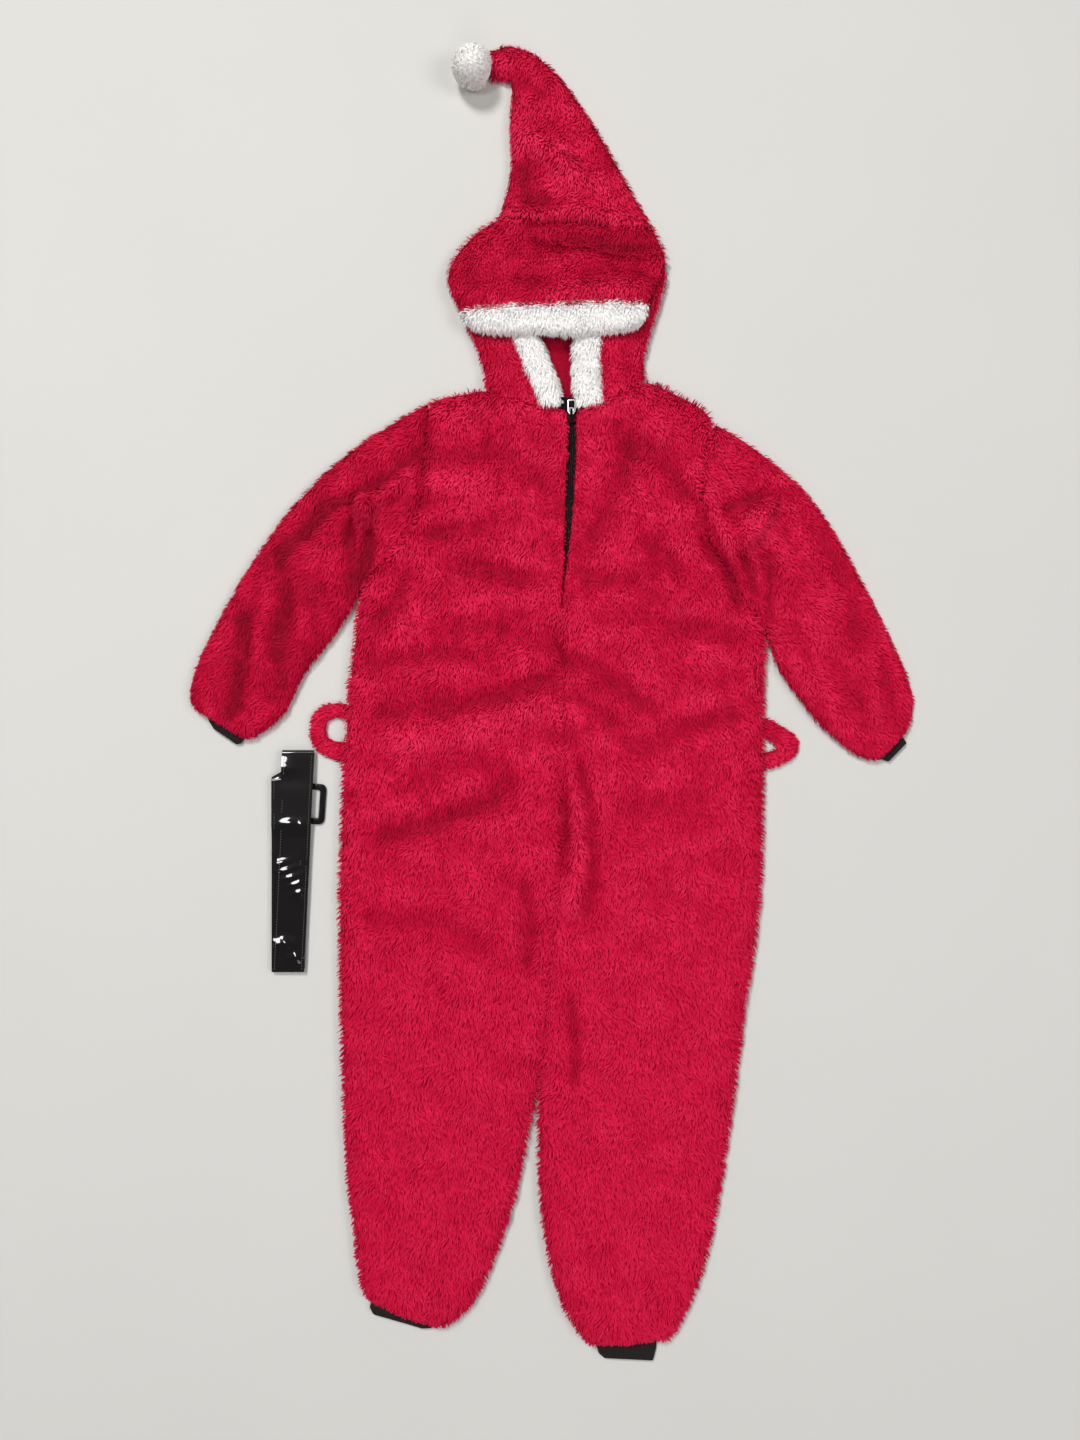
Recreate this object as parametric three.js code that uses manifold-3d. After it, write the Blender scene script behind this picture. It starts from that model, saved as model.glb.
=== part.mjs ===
// A hooded Father Christmas jumpsuit of red long-pile plush with white fur trims, laid flat on its
// back, with its patent belt folded beside it. Millimetres: +Y towards the hat, +Z up from the
// surface that it lies on, and left and right as seen from above.

import * as THREE from "three";
import { mergeVertices } from "three/addons/utils/BufferGeometryUtils.js";
import Module from "manifold-3d";

const wasm = await Module();
wasm.setup();

// ---------------------------------------------------------------- driving sizes

const CLOTH = 7; // the knit backing with its long pile
const FUR = 11; // the white fur of the face strips
const BROW_FUR = 14; // the white fur of the brow band
const RIM = 2.2; // what is left of a wall where it turns under at a folded edge
const SEAM = 0.3; // the gap between pieces that are sewn together
const LAP = 1; // the gap under a piece that only lies over another
const EDGE_ROUND = 10; // how far in from a folded edge a wall is at its full thickness
const DOME = 11; // how far the air inside lifts the front layer
const DOME_REACH = 45; // how far in from an edge the front has risen by two thirds
const FAR = 150; // an edge marked as soft as this isn't a folded edge at all

const PANEL_COLUMNS = 10;
const NECK_COLUMNS = 6; // how many of a panel's columns end on the neck seam
const ARMHOLE_ROWS = 10; // rows of a panel beside its armhole, and of a sleeve's first ring
const SIDE_ROWS = 20; // rows from the armpit to the hem
const SLEEVE_INSET = 5; // a tube's inside stands this far in from its folded edges
const HAT_COLUMNS = 8;
const HAT_ROWS = 12;
const RIB = 3; // the rib knit's wall
const CUFF_HEIGHT = 8; // both layers of a cuff with the air between them
const CUFF_ROUND = 4;
const CUFF_COLUMNS = 4;
const CUFF_CLEAR = 0.4; // a cuff's underside, just off the surface
const HOOD_COLUMNS = 2 * NECK_COLUMNS;
const RISE_START = 690; // the crown starts to climb over what lies under it here
const RISE_END = 612; // and is clear of it from here down
const POMPOM = { x: -118.2, y: 966, core: 24.8, reach: 31, locks: 60, root: 3.6, tip: 1.3 };
const TAPE = 1.4; // thickness of the woven tape
const TAPE_WIDTH = 14;
const TAPE_CLEAR = 0.9; // under the front panels' edges
const TAPE_TOP = { y: 462, midX: 28.5 };
const TAPE_ROWS = 9;
const ZIP_SECTIONS = 5.4; // the tapes end a little below the panels' fifth section
const SLIDER = { x: 29.2, y: 430, width: 10.6, length: 17, height: 6.8, waist: 0.62 };
const BRIDGE = { width: 2.6, length: 9, hole: 1.5, bar: 1.5 };
const PULL = { length: 21, width: 11.8, thickness: 1.8, pin: 0.8, eye: 4.4 };
const LOOP_HEIGHT = 10; // the band is folded double and sewn
const STRAP = { width: 49, thickness: 2.2, gap: 0.3, top: -76, point: 14 };

const RED = 0xb80a2c;
const WHITE = 0xefeae6;
const BLACK = 0x171412;

// ---------------------------------------------------------------- outlines

// A front panel's sections from shoulder to hem. midX and inY are on the centre line or the inner
// leg, half is half the gap there, and out is the armhole or the side seam. Soft is 0 at a folded
// edge and grows as the edge becomes a seam inside the garment. Bow is how much of the neck and
// shoulder line the section follows.
const LEFT_ROWS = [
  { midX: 29, half: 5.9, inY: 443, inSoft: 200, outX: -186, outY: 458, outSoft: 0, bow: 1 },
  { midX: 30, half: 6.7, inY: 401, inSoft: 200, outX: -189, outY: 416, outSoft: 200, bow: 0.35 },
  { midX: 28, half: 7, inY: 340, inSoft: 200, outX: -194, outY: 343, outSoft: 200, bow: 0 },
  { midX: 25, half: 5.6, inY: 282, inSoft: 200, outX: -200, outY: 282, outSoft: 200, bow: 0 },
  { midX: 22, half: 3.5, inY: 227, inSoft: 200, outX: -235, outY: 233, outSoft: 120, bow: 0 },
  { midX: 17, half: 1.4, inY: 180, inSoft: 200, outX: -286, outY: 188, outSoft: 0, bow: 0 },
  { midX: 13, half: 0.2, inY: 115, inSoft: 200, outX: -296, outY: 118, outSoft: 0, bow: 0 },
  { midX: 11, half: 0.2, inY: 17, inSoft: 200, outX: -308, outY: 19, outSoft: 0, bow: 0 },
  { midX: 12, half: 0.2, inY: -89, inSoft: 200, outX: -315, outY: -86, outSoft: 0, bow: 0 },
  { midX: 13, half: 0.2, inY: -195, inSoft: 200, outX: -319, outY: -192, outSoft: 0, bow: 0 },
  { midX: 5, half: 0.2, inY: -280, inSoft: 110, outX: -322, outY: -299, outSoft: 0, bow: 0 },
  { midX: -8, half: 0.2, inY: -372, inSoft: 45, outX: -321, outY: -387, outSoft: 0, bow: 0 },
  { midX: -14, half: 0.2, inY: -469, inSoft: 16, outX: -319, outY: -481, outSoft: 0, bow: 0 },
  { midX: -19, half: 0.6, inY: -563, inSoft: 0, outX: -315, outY: -595, outSoft: 0, bow: 0 },
  { midX: -32, half: 0.2, inY: -619, inSoft: 0, outX: -312, outY: -679, outSoft: 0, bow: 0 },
  { midX: -51, half: 0.2, inY: -721, inSoft: 0, outX: -305, outY: -762, outSoft: 0, bow: 0 },
  { midX: -73, half: 0.2, inY: -800, inSoft: 0, outX: -296, outY: -823, outSoft: 0, bow: 0 },
  { midX: -103, half: 0.2, inY: -876, inSoft: 0, outX: -291, outY: -872, outSoft: 0, bow: 0 },
  { midX: -131, half: 0.2, inY: -925, inSoft: 0, outX: -283, outY: -901, outSoft: 0, bow: 0 },
  { midX: -174, half: 0.2, inY: -952, inSoft: 0, outX: -276, outY: -911, outSoft: 0, bow: 0 },
];
const RIGHT_ROWS = [
  { midX: 29, half: 5.9, inY: 443, inSoft: 200, outX: 247, outY: 426, outSoft: 0, bow: 1 },
  { midX: 30, half: 6.7, inY: 401, inSoft: 200, outX: 230, outY: 382, outSoft: 200, bow: 0.35 },
  { midX: 28, half: 7, inY: 340, inSoft: 200, outX: 223, outY: 325, outSoft: 200, bow: 0 },
  { midX: 25, half: 5.6, inY: 282, inSoft: 200, outX: 230, outY: 261, outSoft: 200, bow: 0 },
  { midX: 22, half: 3.5, inY: 227, inSoft: 200, outX: 268, outY: 194, outSoft: 120, bow: 0 },
  { midX: 17, half: 1.4, inY: 180, inSoft: 200, outX: 322, outY: 118, outSoft: 0, bow: 0 },
  { midX: 13, half: 0.2, inY: 115, inSoft: 200, outX: 322, outY: 63, outSoft: 0, bow: 0 },
  { midX: 11, half: 0.2, inY: 17, inSoft: 200, outX: 320, outY: -1, outSoft: 0, bow: 0 },
  { midX: 12, half: 0.2, inY: -89, inSoft: 200, outX: 319, outY: -101, outSoft: 0, bow: 0 },
  { midX: 13, half: 0.2, inY: -195, inSoft: 200, outX: 319, outY: -201, outSoft: 0, bow: 0 },
  { midX: 5, half: 0.2, inY: -280, inSoft: 110, outX: 314, outY: -299, outSoft: 0, bow: 0 },
  { midX: -8, half: 0.2, inY: -372, inSoft: 45, outX: 305, outY: -384, outSoft: 0, bow: 0 },
  { midX: -14, half: 0.2, inY: -469, inSoft: 16, outX: 290, outY: -469, outSoft: 0, bow: 0 },
  { midX: -18, half: 0.2, inY: -563, inSoft: 0, outX: 279, outY: -566, outSoft: 0, bow: 0 },
  { midX: -19, half: 0.2, inY: -648, inSoft: 0, outX: 267, outY: -653, outSoft: 0, bow: 0 },
  { midX: -17, half: 0.2, inY: -749, inSoft: 0, outX: 255, outY: -733, outSoft: 0, bow: 0 },
  { midX: -7, half: 0.2, inY: -820, inSoft: 0, outX: 241, outY: -809, outSoft: 0, bow: 0 },
  { midX: 7, half: 0.2, inY: -885, inSoft: 0, outX: 226, outY: -867, outSoft: 0, bow: 0 },
  { midX: 27, half: 0.2, inY: -934, inSoft: 0, outX: 203, outY: -922, outSoft: 0, bow: 0 },
  { midX: 60, half: 0.2, inY: -978, inSoft: 0, outX: 176, outY: -969, outSoft: 0, bow: 0 },
];
const ARMHOLE_SECTIONS = 5; // the first sections of a panel run down its armhole

// The neck seam from the centre outwards, and the shoulder from there to the top of the armhole.
const NECK_LEFT = [
  { x: 29, y: 443 },
  { x: 5, y: 445 },
  { x: -16, y: 448 },
  { x: -43, y: 457 },
  { x: -72, y: 467 },
  { x: -101, y: 477 },
];
const SHOULDER_LEFT = [
  { x: -101, y: 477 },
  { x: -131, y: 470 },
  { x: -159, y: 465 },
  { x: -186, y: 458 },
];
const NECK_RIGHT = [
  { x: 29, y: 443 },
  { x: 54, y: 448 },
  { x: 75, y: 456 },
  { x: 100, y: 466 },
  { x: 122, y: 479 },
  { x: 145, y: 492 },
];
const SHOULDER_RIGHT = [
  { x: 145, y: 492 },
  { x: 177, y: 475 },
  { x: 209, y: 460 },
  { x: 233, y: 445 },
  { x: 247, y: 426 },
];

// A sleeve's sections from armhole to wrist, each from the shoulder side to the underarm side.
const LEFT_SLEEVE = [
  { outX: -186, outY: 458, inX: -287, inY: 188, bow: 1 },
  { outX: -241, outY: 426, inX: -295, inY: 172, bow: 0.35 },
  { outX: -303, outY: 387, inX: -302, inY: 152, bow: 0.12 },
  { outX: -359, outY: 337, inX: -316, inY: 125, bow: 0 },
  { outX: -408, outY: 282, inX: -338, inY: 97, bow: 0 },
  { outX: -455, outY: 214, inX: -359, inY: 71, bow: 0 },
  { outX: -493, outY: 150, inX: -378, inY: 46, bow: 0 },
  { outX: -524, outY: 89, inX: -392, inY: 21, bow: 0 },
  { outX: -542, outY: 48, inX: -400, inY: -1, bow: 0 },
  { outX: -550, outY: 14, inX: -411, inY: -19, bow: 0 },
  { outX: -546, outY: -5, inX: -435, inY: -42, bow: 0 },
  { outX: -530, outY: -17, inX: -469, inY: -55, bow: 0 },
];
const RIGHT_SLEEVE = [
  { outX: 247, outY: 426, inX: 322, inY: 118, bow: 1 },
  { outX: 291, outY: 401, inX: 330, inY: 101, bow: 0.35 },
  { outX: 335, outY: 367, inX: 335, inY: 81, bow: 0.12 },
  { outX: 376, outY: 332, inX: 342, inY: 62, bow: 0 },
  { outX: 413, outY: 285, inX: 353, inY: 40, bow: 0 },
  { outX: 448, outY: 226, inX: 369, inY: 19, bow: 0 },
  { outX: 477, outY: 173, inX: 386, inY: -5, bow: 0 },
  { outX: 505, outY: 115, inX: 408, inY: -31, bow: 0 },
  { outX: 530, outY: 62, inX: 435, inY: -56, bow: 0 },
  { outX: 546, outY: 17, inX: 457, inY: -74, bow: 0 },
  { outX: 549, outY: -14, inX: 478, inY: -84, bow: 0 },
  { outX: 534, outY: -51, inX: 499, inY: -86, bow: 0 },
];

// The hood's back and the crown by height, and the stocking of the hat from its gather to the tip.
const HOOD_BACK = [
  { leftX: -80, leftY: 736, rightX: 156, rightY: 716, bow: 0 },
  { leftX: -116, leftY: 715, rightX: 169, rightY: 691, bow: 0 },
  { leftX: -145, leftY: 685, rightX: 175, rightY: 671, bow: 0 },
  { leftX: -160, leftY: 644, rightX: 171, rightY: 639, bow: 0 },
  { leftX: -149, leftY: 612, rightX: 163, rightY: 607, bow: 0 },
  { leftX: -133, leftY: 584, rightX: 153, rightY: 578, bow: 0 },
  { leftX: -119, leftY: 554, rightX: 145, rightY: 551, bow: 0 },
  { leftX: -106, leftY: 521, rightX: 137, rightY: 519, bow: 0.4 },
  { leftX: -101, leftY: 477, rightX: 145, rightY: 492, bow: 1 },
];
const HAT = [
  { leftX: -80, leftY: 736.4, rightX: 156, rightY: 716.4 },
  { leftX: -67, leftY: 781, rightX: 124, rightY: 771 },
  { leftX: -59, leftY: 820, rightX: 99, rightY: 817 },
  { leftX: -64, leftY: 869, rightX: 68, rightY: 872 },
  { leftX: -61, leftY: 908, rightX: 37, rightY: 917 },
  { leftX: -59, leftY: 933, rightX: 11, rightY: 953 },
  { leftX: -61, leftY: 947, rightX: -22, rightY: 983 },
  { leftX: -67, leftY: 950, rightX: -54, rightY: 999 },
  { leftX: -77, leftY: 950, rightX: -76, rightY: 997 },
  { leftX: -92, leftY: 950.5, rightX: -97, rightY: 988 },
];
const CROWN = [
  { leftX: -80, leftY: 735.7, rightX: 156, rightY: 715.7 },
  { leftX: -116, leftY: 712, rightX: 166, rightY: 689 },
  { leftX: -144, leftY: 683, rightX: 172, rightY: 672 },
  { leftX: -159, leftY: 644, rightX: 158, rightY: 639 },
  { leftX: -148, leftY: 613, rightX: 149, rightY: 615 },
  { leftX: -135, leftY: 591, rightX: 141, rightY: 603 },
];

// White fur: the brow band from left to right, and the two strips beside the face from the top.
const BROW = [
  { topX: -135.3, topY: 589.6, lowX: -132.2, lowY: 582.2 },
  { topX: -113.2, topY: 592.3, lowX: -116.3, lowY: 566.2 },
  { topX: -88.9, topY: 594.5, lowX: -92, lowY: 558.6 },
  { topX: -46.4, topY: 596, lowX: -46.4, lowY: 557.1 },
  { topX: -5.3, topY: 596, lowX: -3.8, lowY: 556.3 },
  { topX: 34.2, topY: 598.4, lowX: 34.2, lowY: 553.3 },
  { topX: 75.2, topY: 599.8, lowX: 76.8, lowY: 557.8 },
  { topX: 111.7, topY: 600.7, lowX: 113.2, lowY: 563.2 },
  { topX: 133, topY: 601.3, lowX: 133, lowY: 572.3 },
  { topX: 140.6, topY: 601.5, lowX: 139.8, lowY: 589 },
];
const TRIM_LEFT = [
  { leftX: -67.6, leftY: 570.8, rightX: -28.9, rightY: 570.8 },
  { leftX: -61.6, leftY: 555.6, rightX: -21.3, rightY: 555.6 },
  { leftX: -50.9, leftY: 529.7, rightX: -9.9, rightY: 529.7 },
  { leftX: -38.8, leftY: 500.8, rightX: 1.2, rightY: 502.4 },
  { leftX: -26.6, leftY: 475, rightX: 9.9, rightY: 476.5 },
  { leftX: -16.6, leftY: 452.2, rightX: 15.2, rightY: 450.7 },
];
const TRIM_RIGHT = [
  { leftX: 33.4, leftY: 570.8, rightX: 73.7, rightY: 570.8 },
  { leftX: 34.2, leftY: 552.5, rightX: 74.3, rightY: 552.5 },
  { leftX: 32.1, leftY: 519.1, rightX: 72.2, rightY: 520.6 },
  { leftX: 32.7, leftY: 484.1, rightX: 72.5, rightY: 487.2 },
  { leftX: 34.8, leftY: 461.3, rightX: 74.6, rightY: 468.9 },
  { leftX: 36.3, leftY: 446.7, rightX: 75.8, rightY: 457.7 },
];

// The hood's sides, from under the brow band down to the neck seam.
const HOOD_LEFT = [
  { outX: -130, outY: 579.9, inX: -74.5, inY: 576.8 },
  { outX: -119.3, outY: 554, inX: -62.2, inY: 552.5 },
  { outX: -109.7, outY: 529.7, inX: -51.8, inY: 527.4 },
  { outX: -103.2, outY: 508.4, inX: -40.3, inY: 500.1 },
  { outX: -101.1, outY: 491.7, inX: -27.8, inY: 474.2 },
  { outX: -101.1, outY: 477.1, inX: -17.5, inY: 449.8 },
];
const HOOD_RIGHT = [
  { outX: 173.2, outY: 660, inX: 169, inY: 657 },
  { outX: 170.4, outY: 636.1, inX: 159.6, inY: 634.6 },
  { outX: 162.9, outY: 608.8, inX: 150.6, inY: 610.3 },
  { outX: 156.3, outY: 589, inX: 120.8, inY: 589 },
  { outX: 150.6, outY: 570.8, inX: 78.3, inY: 572.3 },
  { outX: 144.4, outY: 548, inX: 75.2, inY: 549.5 },
  { outX: 137.1, outY: 519.1, inX: 73.1, inY: 520.6 },
  { outX: 137.6, outY: 502.4, inX: 73.7, inY: 487.2 },
  { outX: 144.2, outY: 492.3, inX: 76.8, inY: 457.4 },
];

// Belt loops, each from its upper end round to its lower end.
const LOOP_LEFT = [
  { outX: -310.5, outY: -1.5, inX: -312, inY: -22.8 },
  { outX: -335.2, outY: -0.8, inX: -330.6, inY: -22.3 },
  { outX: -352.6, outY: -5, inX: -340.3, inY: -25.4 },
  { outX: -365, outY: -19, inX: -344.3, inY: -33.3 },
  { outX: -369.2, outY: -39.5, inX: -345.2, inY: -42.7 },
  { outX: -368, outY: -61.6, inX: -342.8, inY: -53.7 },
  { outX: -354.9, outY: -74.9, inX: -335.9, inY: -58.2 },
  { outX: -336.7, outY: -86.8, inX: -326, inY: -59.7 },
  { outX: -315.8, outY: -91.2, inX: -314.2, inY: -60 },
];
const LOOP_RIGHT = [
  { outX: 320.3, outY: -21.3, inX: 320.3, inY: -50.9 },
  { outX: 336.7, outY: -28.9, inX: 329.1, inY: -56.4 },
  { outX: 354.9, outY: -38.5, inX: 336.7, inY: -61.9 },
  { outX: 371.6, outY: -50.9, inX: 341.5, inY: -65.5 },
  { outX: 378.5, outY: -65.4, inX: 343.4, inY: -68.6 },
  { outX: 371.6, outY: -79.8, inX: 341.2, inY: -71.9 },
  { outX: 356.4, outY: -92, inX: 335.2, inY: -74.2 },
  { outX: 339.7, outY: -98, inX: 329.1, inY: -75.7 },
  { outX: 319.7, outY: -102.6, inX: 319.7, inY: -77.2 },
];

// Rib cuffs, each from its seam to its free end.
const WRIST_LEFT = [
  { outX: -527.6, outY: -19, inX: -470.1, inY: -56.7 },
  { outX: -523.6, outY: -28.9, inX: -474.2, inY: -62.8 },
  { outX: -517.6, outY: -38, inX: -481.1, inY: -64 },
];
const WRIST_RIGHT = [
  { outX: 534.5, outY: -51.1, inX: 500.3, inY: -85.3 },
  { outX: 541.3, outY: -61.3, inX: 513, inY: -90.4 },
];
const ANKLE_LEFT = [
  { outX: -275.5, outY: -911.6, inX: -176.2, inY: -951.6 },
  { outX: -278.5, outY: -923.4, inX: -183.9, inY: -954.7 },
  { outX: -273.6, outY: -932.5, inX: -195.3, inY: -955 },
];
const ANKLE_RIGHT = [
  { outX: 160.3, outY: -970.7, inX: 66.5, inY: -978 },
  { outX: 158.8, outY: -987.2, inX: 70.7, inY: -992.6 },
  { outX: 154.3, outY: -1003.2, inX: 78.3, inY: -999.4 },
];

// Creases that the front layer was laid with: a ridge where height is above zero, and else a
// trough. Width is where it has fallen to about a third.
const CREASES = [
  { x1: -212, y1: 373, x2: -338, y2: 297, width: 11, height: -6 }, // left sleeve, upper run
  { x1: -338, y1: 297, x2: -405, y2: 233, width: 12, height: -6 }, // left sleeve, lower run
  { x1: -224, y1: 340, x2: -326, y2: 276, width: 11, height: 5 }, // left sleeve, ridge between them
  { x1: -407, y1: 207, x2: -416, y2: 81, width: 14, height: -4 }, // left sleeve, long hollow
  { x1: -469, y1: 125, x2: -489, y2: -13, width: 12, height: -5 }, // left sleeve, wrist hollow
  { x1: -283, y1: 297, x2: -280, y2: 279, width: 13, height: 9 }, // left underarm knot
  { x1: -276, y1: 255, x2: -283, y2: 200, width: 8, height: -7 }, // left underarm crease
  { x1: -306, y1: 312, x2: -306, y2: 198, width: 9, height: -4 }, // left underarm second
  { x1: -86, y1: 390, x2: -8, y2: 317, width: 16, height: -3 }, // chest left
  { x1: 115, y1: 382, x2: 57, y2: 247, width: 16, height: -3 }, // chest right
  { x1: 323, y1: 291, x2: 288, y2: 241, width: 14, height: 8 }, // right knot
  { x1: 277, y1: 302, x2: 350, y2: 317, width: 12, height: -6 }, // right arc
  { x1: 282, y1: 224, x2: 309, y2: 173, width: 8, height: -7 }, // right pocket
  { x1: 233, y1: 241, x2: 279, y2: 157, width: 9, height: -6 }, // right diagonal
  { x1: 325, y1: 218, x2: 326, y2: 139, width: 9, height: -5 }, // right sleeve inner
  { x1: -11, y1: 36, x2: -247, y2: -10, width: 15, height: -5 }, // waist left
  { x1: -19, y1: -2, x2: -232, y2: -48, width: 18, height: 3 }, // waist left ridge
  { x1: 30, y1: 63, x2: 133, y2: 5, width: 14, height: -4 }, // waist right
  { x1: -72, y1: -131, x2: -247, y2: -200, width: 18, height: -4 }, // hip left
  { x1: 21, y1: -144, x2: 16, y2: -241, width: 9, height: -5 }, // centre left
  { x1: 45, y1: -101, x2: 57, y2: -306, width: 9, height: -4 }, // centre right
  { x1: 33, y1: -147, x2: 30, y2: -299, width: 10, height: 4 }, // crotch ridge
  { x1: -40, y1: -283, x2: -37, y2: -390, width: 10, height: -4 }, // thigh left
  { x1: 27, y1: -451, x2: 31, y2: -565, width: 9, height: -4 }, // inner leg
  { x1: -49, y1: 741, x2: 133, y2: 726, width: 10, height: 5 }, // hat ridge
  { x1: -27, y1: 721, x2: 87, y2: 718, width: 9, height: -6 }, // hat hollow
  { x1: -49, y1: 841, x2: 57, y2: 796, width: 14, height: 3 }, // hat top
  { x1: -49, y1: 796, x2: -7, y2: 747, width: 14, height: -4 }, // hat left
  { x1: -11, y1: 705, x2: 72, y2: 695, width: 13, height: -5 }, // crown hollow
  { x1: 100, y1: 686, x2: 148, y2: 695, width: 12, height: -4 }, // crown right
  { x1: 11, y1: 613, x2: 133, y2: 619, width: 14, height: 3 }, // crown crease
];

// The underarm creases, where the sleeve turns under beside the body.
const UNDERARM_LEFT = [
  { x: -287, y: 188, soft: 0 },
  { x: -283, y: 215, soft: 12 },
  { x: -277, y: 250, soft: 45 },
];
const UNDERARM_RIGHT = [
  { x: 322, y: 118, soft: 0 },
  { x: 322, y: 150, soft: 12 },
  { x: 312, y: 172, soft: 45 },
];

// ---------------------------------------------------------------- curves through the tables

function mix(a, b, share) {
  return a + (b - a) * share;
}

function clamp(value, low, high) {
  return Math.min(Math.max(value, low), high);
}

// A smooth curve through evenly counted values, for t from 0 to 1.
function through(values, t) {
  const last = values.length - 1;
  const at = clamp(t, 0, 1) * last;
  const i = Math.min(Math.floor(at), last - 1);
  const f = at - i;
  const start = values[i];
  const end = values[i + 1];
  const before = i > 0 ? values[i - 1] : 2 * start - end;
  const after = i + 2 <= last ? values[i + 2] : 2 * end - start;
  const rise = (end - before) * f;
  const bend = (2 * before - 5 * start + 4 * end - after) * f * f;
  const twist = (3 * start - before - 3 * end + after) * f * f * f;
  return 0.5 * (2 * start + rise + bend + twist);
}

// Every column of a table at t.
function rowAt(rows, t) {
  const row = {};
  for (const name of Object.keys(rows[0])) {
    row[name] = through(rows.map((each) => each[name]), t);
  }
  return row;
}

// Columns lie closer together near both edges, where a folded cloth turns.
function towardsEdges(share) {
  return (1 - Math.cos(Math.PI * share)) / 2;
}

// ---------------------------------------------------------------- the lie of the cloth

const foldedEdges = [];

function addFoldedEdge(points) {
  for (let i = 0; i + 1 < points.length; i += 1) {
    const a = points[i];
    const b = points[i + 1];
    if (Math.min(a.soft, b.soft) < FAR) {
      foldedEdges.push({ a, b, dx: b.x - a.x, dy: b.y - a.y });
    }
  }
}

function addTableEdge(rows, pick) {
  const steps = (rows.length - 1) * 2;
  const points = [];
  for (let k = 0; k <= steps; k += 1) {
    points.push(pick(rowAt(rows, k / steps)));
  }
  addFoldedEdge(points);
}

for (const rows of [LEFT_ROWS, RIGHT_ROWS]) {
  addTableEdge(rows, (row) => ({ x: row.midX, y: row.inY, soft: row.inSoft }));
  addTableEdge(rows, (row) => ({ x: row.outX, y: row.outY, soft: row.outSoft }));
}
for (const rows of [LEFT_SLEEVE, RIGHT_SLEEVE]) {
  addTableEdge(rows, (row) => ({ x: row.inX, y: row.inY, soft: 0 }));
  addTableEdge(rows, (row) => ({ x: row.outX, y: row.outY, soft: 0 }));
}
for (const rows of [HOOD_BACK, HAT]) {
  addTableEdge(rows, (row) => ({ x: row.leftX, y: row.leftY, soft: 0 }));
  addTableEdge(rows, (row) => ({ x: row.rightX, y: row.rightY, soft: 0 }));
}
for (const rows of [SHOULDER_LEFT, SHOULDER_RIGHT]) {
  addTableEdge(rows, (row) => ({ x: row.x, y: row.y, soft: 0 }));
}
addFoldedEdge(UNDERARM_LEFT);
addFoldedEdge(UNDERARM_RIGHT);

// How far a point is from the nearest folded edge.
function fromEdge(x, y) {
  let best = FAR;
  for (const { a, b, dx, dy } of foldedEdges) {
    const length = dx * dx + dy * dy;
    const share = length > 0 ? clamp(((x - a.x) * dx + (y - a.y) * dy) / length, 0, 1) : 0;
    const away = Math.hypot(x - a.x - share * dx, y - a.y - share * dy);
    best = Math.min(best, away + mix(a.soft, b.soft, share));
  }
  return best;
}

// 0 at a folded edge and 1 where the wall has its full thickness, on a quarter circle.
function turned(away, reach = EDGE_ROUND) {
  const left = 1 - clamp(away / reach, 0, 1);
  return Math.sqrt(1 - left * left);
}

function wall(away, thickness = CLOTH, reach = EDGE_ROUND) {
  return RIM + (thickness - RIM) * turned(away, reach);
}

function creased(x, y) {
  let sum = 0;
  for (const { x1, y1, x2, y2, width, height } of CREASES) {
    const dx = x2 - x1;
    const dy = y2 - y1;
    const length = Math.hypot(dx, dy);
    const along = ((x - x1) * dx + (y - y1) * dy) / length;
    const across = ((x - x1) * dy - (y - y1) * dx) / length;
    const past = Math.max(-along, along - length, 0);
    sum += height * Math.exp(-((across / width) ** 2) - (past / (1.6 * width)) ** 2);
  }
  return sum;
}

// How far the front layer's inside is lifted off the back layer.
function lift(x, y) {
  const away = fromEdge(x, y);
  const dome = DOME * (1 - Math.exp(-away / DOME_REACH));
  return Math.max(0, dome + creased(x, y) * (1 - Math.exp(-away / 14)));
}

function frontInside(x, y) {
  return CLOTH + SEAM + lift(x, y);
}

function frontOutside(x, y) {
  return frontInside(x, y) + wall(fromEdge(x, y));
}

function backOutside(x, y) {
  return (CLOTH - RIM) * (1 - turned(fromEdge(x, y)));
}

// ---------------------------------------------------------------- solids

function outwards(positions, faces) {
  let volume = 0;
  const corner = (index) => new THREE.Vector3().fromArray(positions, 3 * index);
  for (const [a, b, c] of faces) {
    volume += corner(a).dot(corner(b).cross(corner(c)));
  }
  const turnedFaces = volume < 0 ? faces.map(([a, b, c]) => [a, c, b]) : faces;
  const geometry = new THREE.BufferGeometry();
  geometry.setAttribute("position", new THREE.Float32BufferAttribute(positions, 3));
  geometry.setIndex(turnedFaces.flat());
  return geometry;
}

function quad(faces, a, b, c, d) {
  faces.push([a, b, c], [a, c, d]);
}

// A sheet with a wall: columns by rows of points over and under it, joined round its rim.
function sheet(columns, rows, over, under) {
  const positions = [];
  for (const point of [over, under]) {
    for (let j = 0; j <= rows; j += 1) {
      for (let i = 0; i <= columns; i += 1) {
        positions.push(...point(i, j));
      }
    }
  }
  const across = columns + 1;
  const layer = across * (rows + 1);
  const faces = [];
  for (let j = 0; j < rows; j += 1) {
    for (let i = 0; i < columns; i += 1) {
      const corner = j * across + i;
      quad(faces, corner, corner + 1, corner + across + 1, corner + across);
      quad(faces, layer + corner, layer + corner + across, layer + corner + across + 1, layer + corner + 1);
    }
  }
  const rim = [];
  for (let i = 0; i < columns; i += 1) rim.push(i);
  for (let j = 0; j < rows; j += 1) rim.push(j * across + columns);
  for (let i = columns; i > 0; i -= 1) rim.push(rows * across + i);
  for (let j = rows; j > 0; j -= 1) rim.push(j * across);
  rim.forEach((from, k) => {
    const to = rim[(k + 1) % rim.length];
    quad(faces, from, from + layer, to + layer, to);
  });
  return outwards(positions, faces);
}

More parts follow.
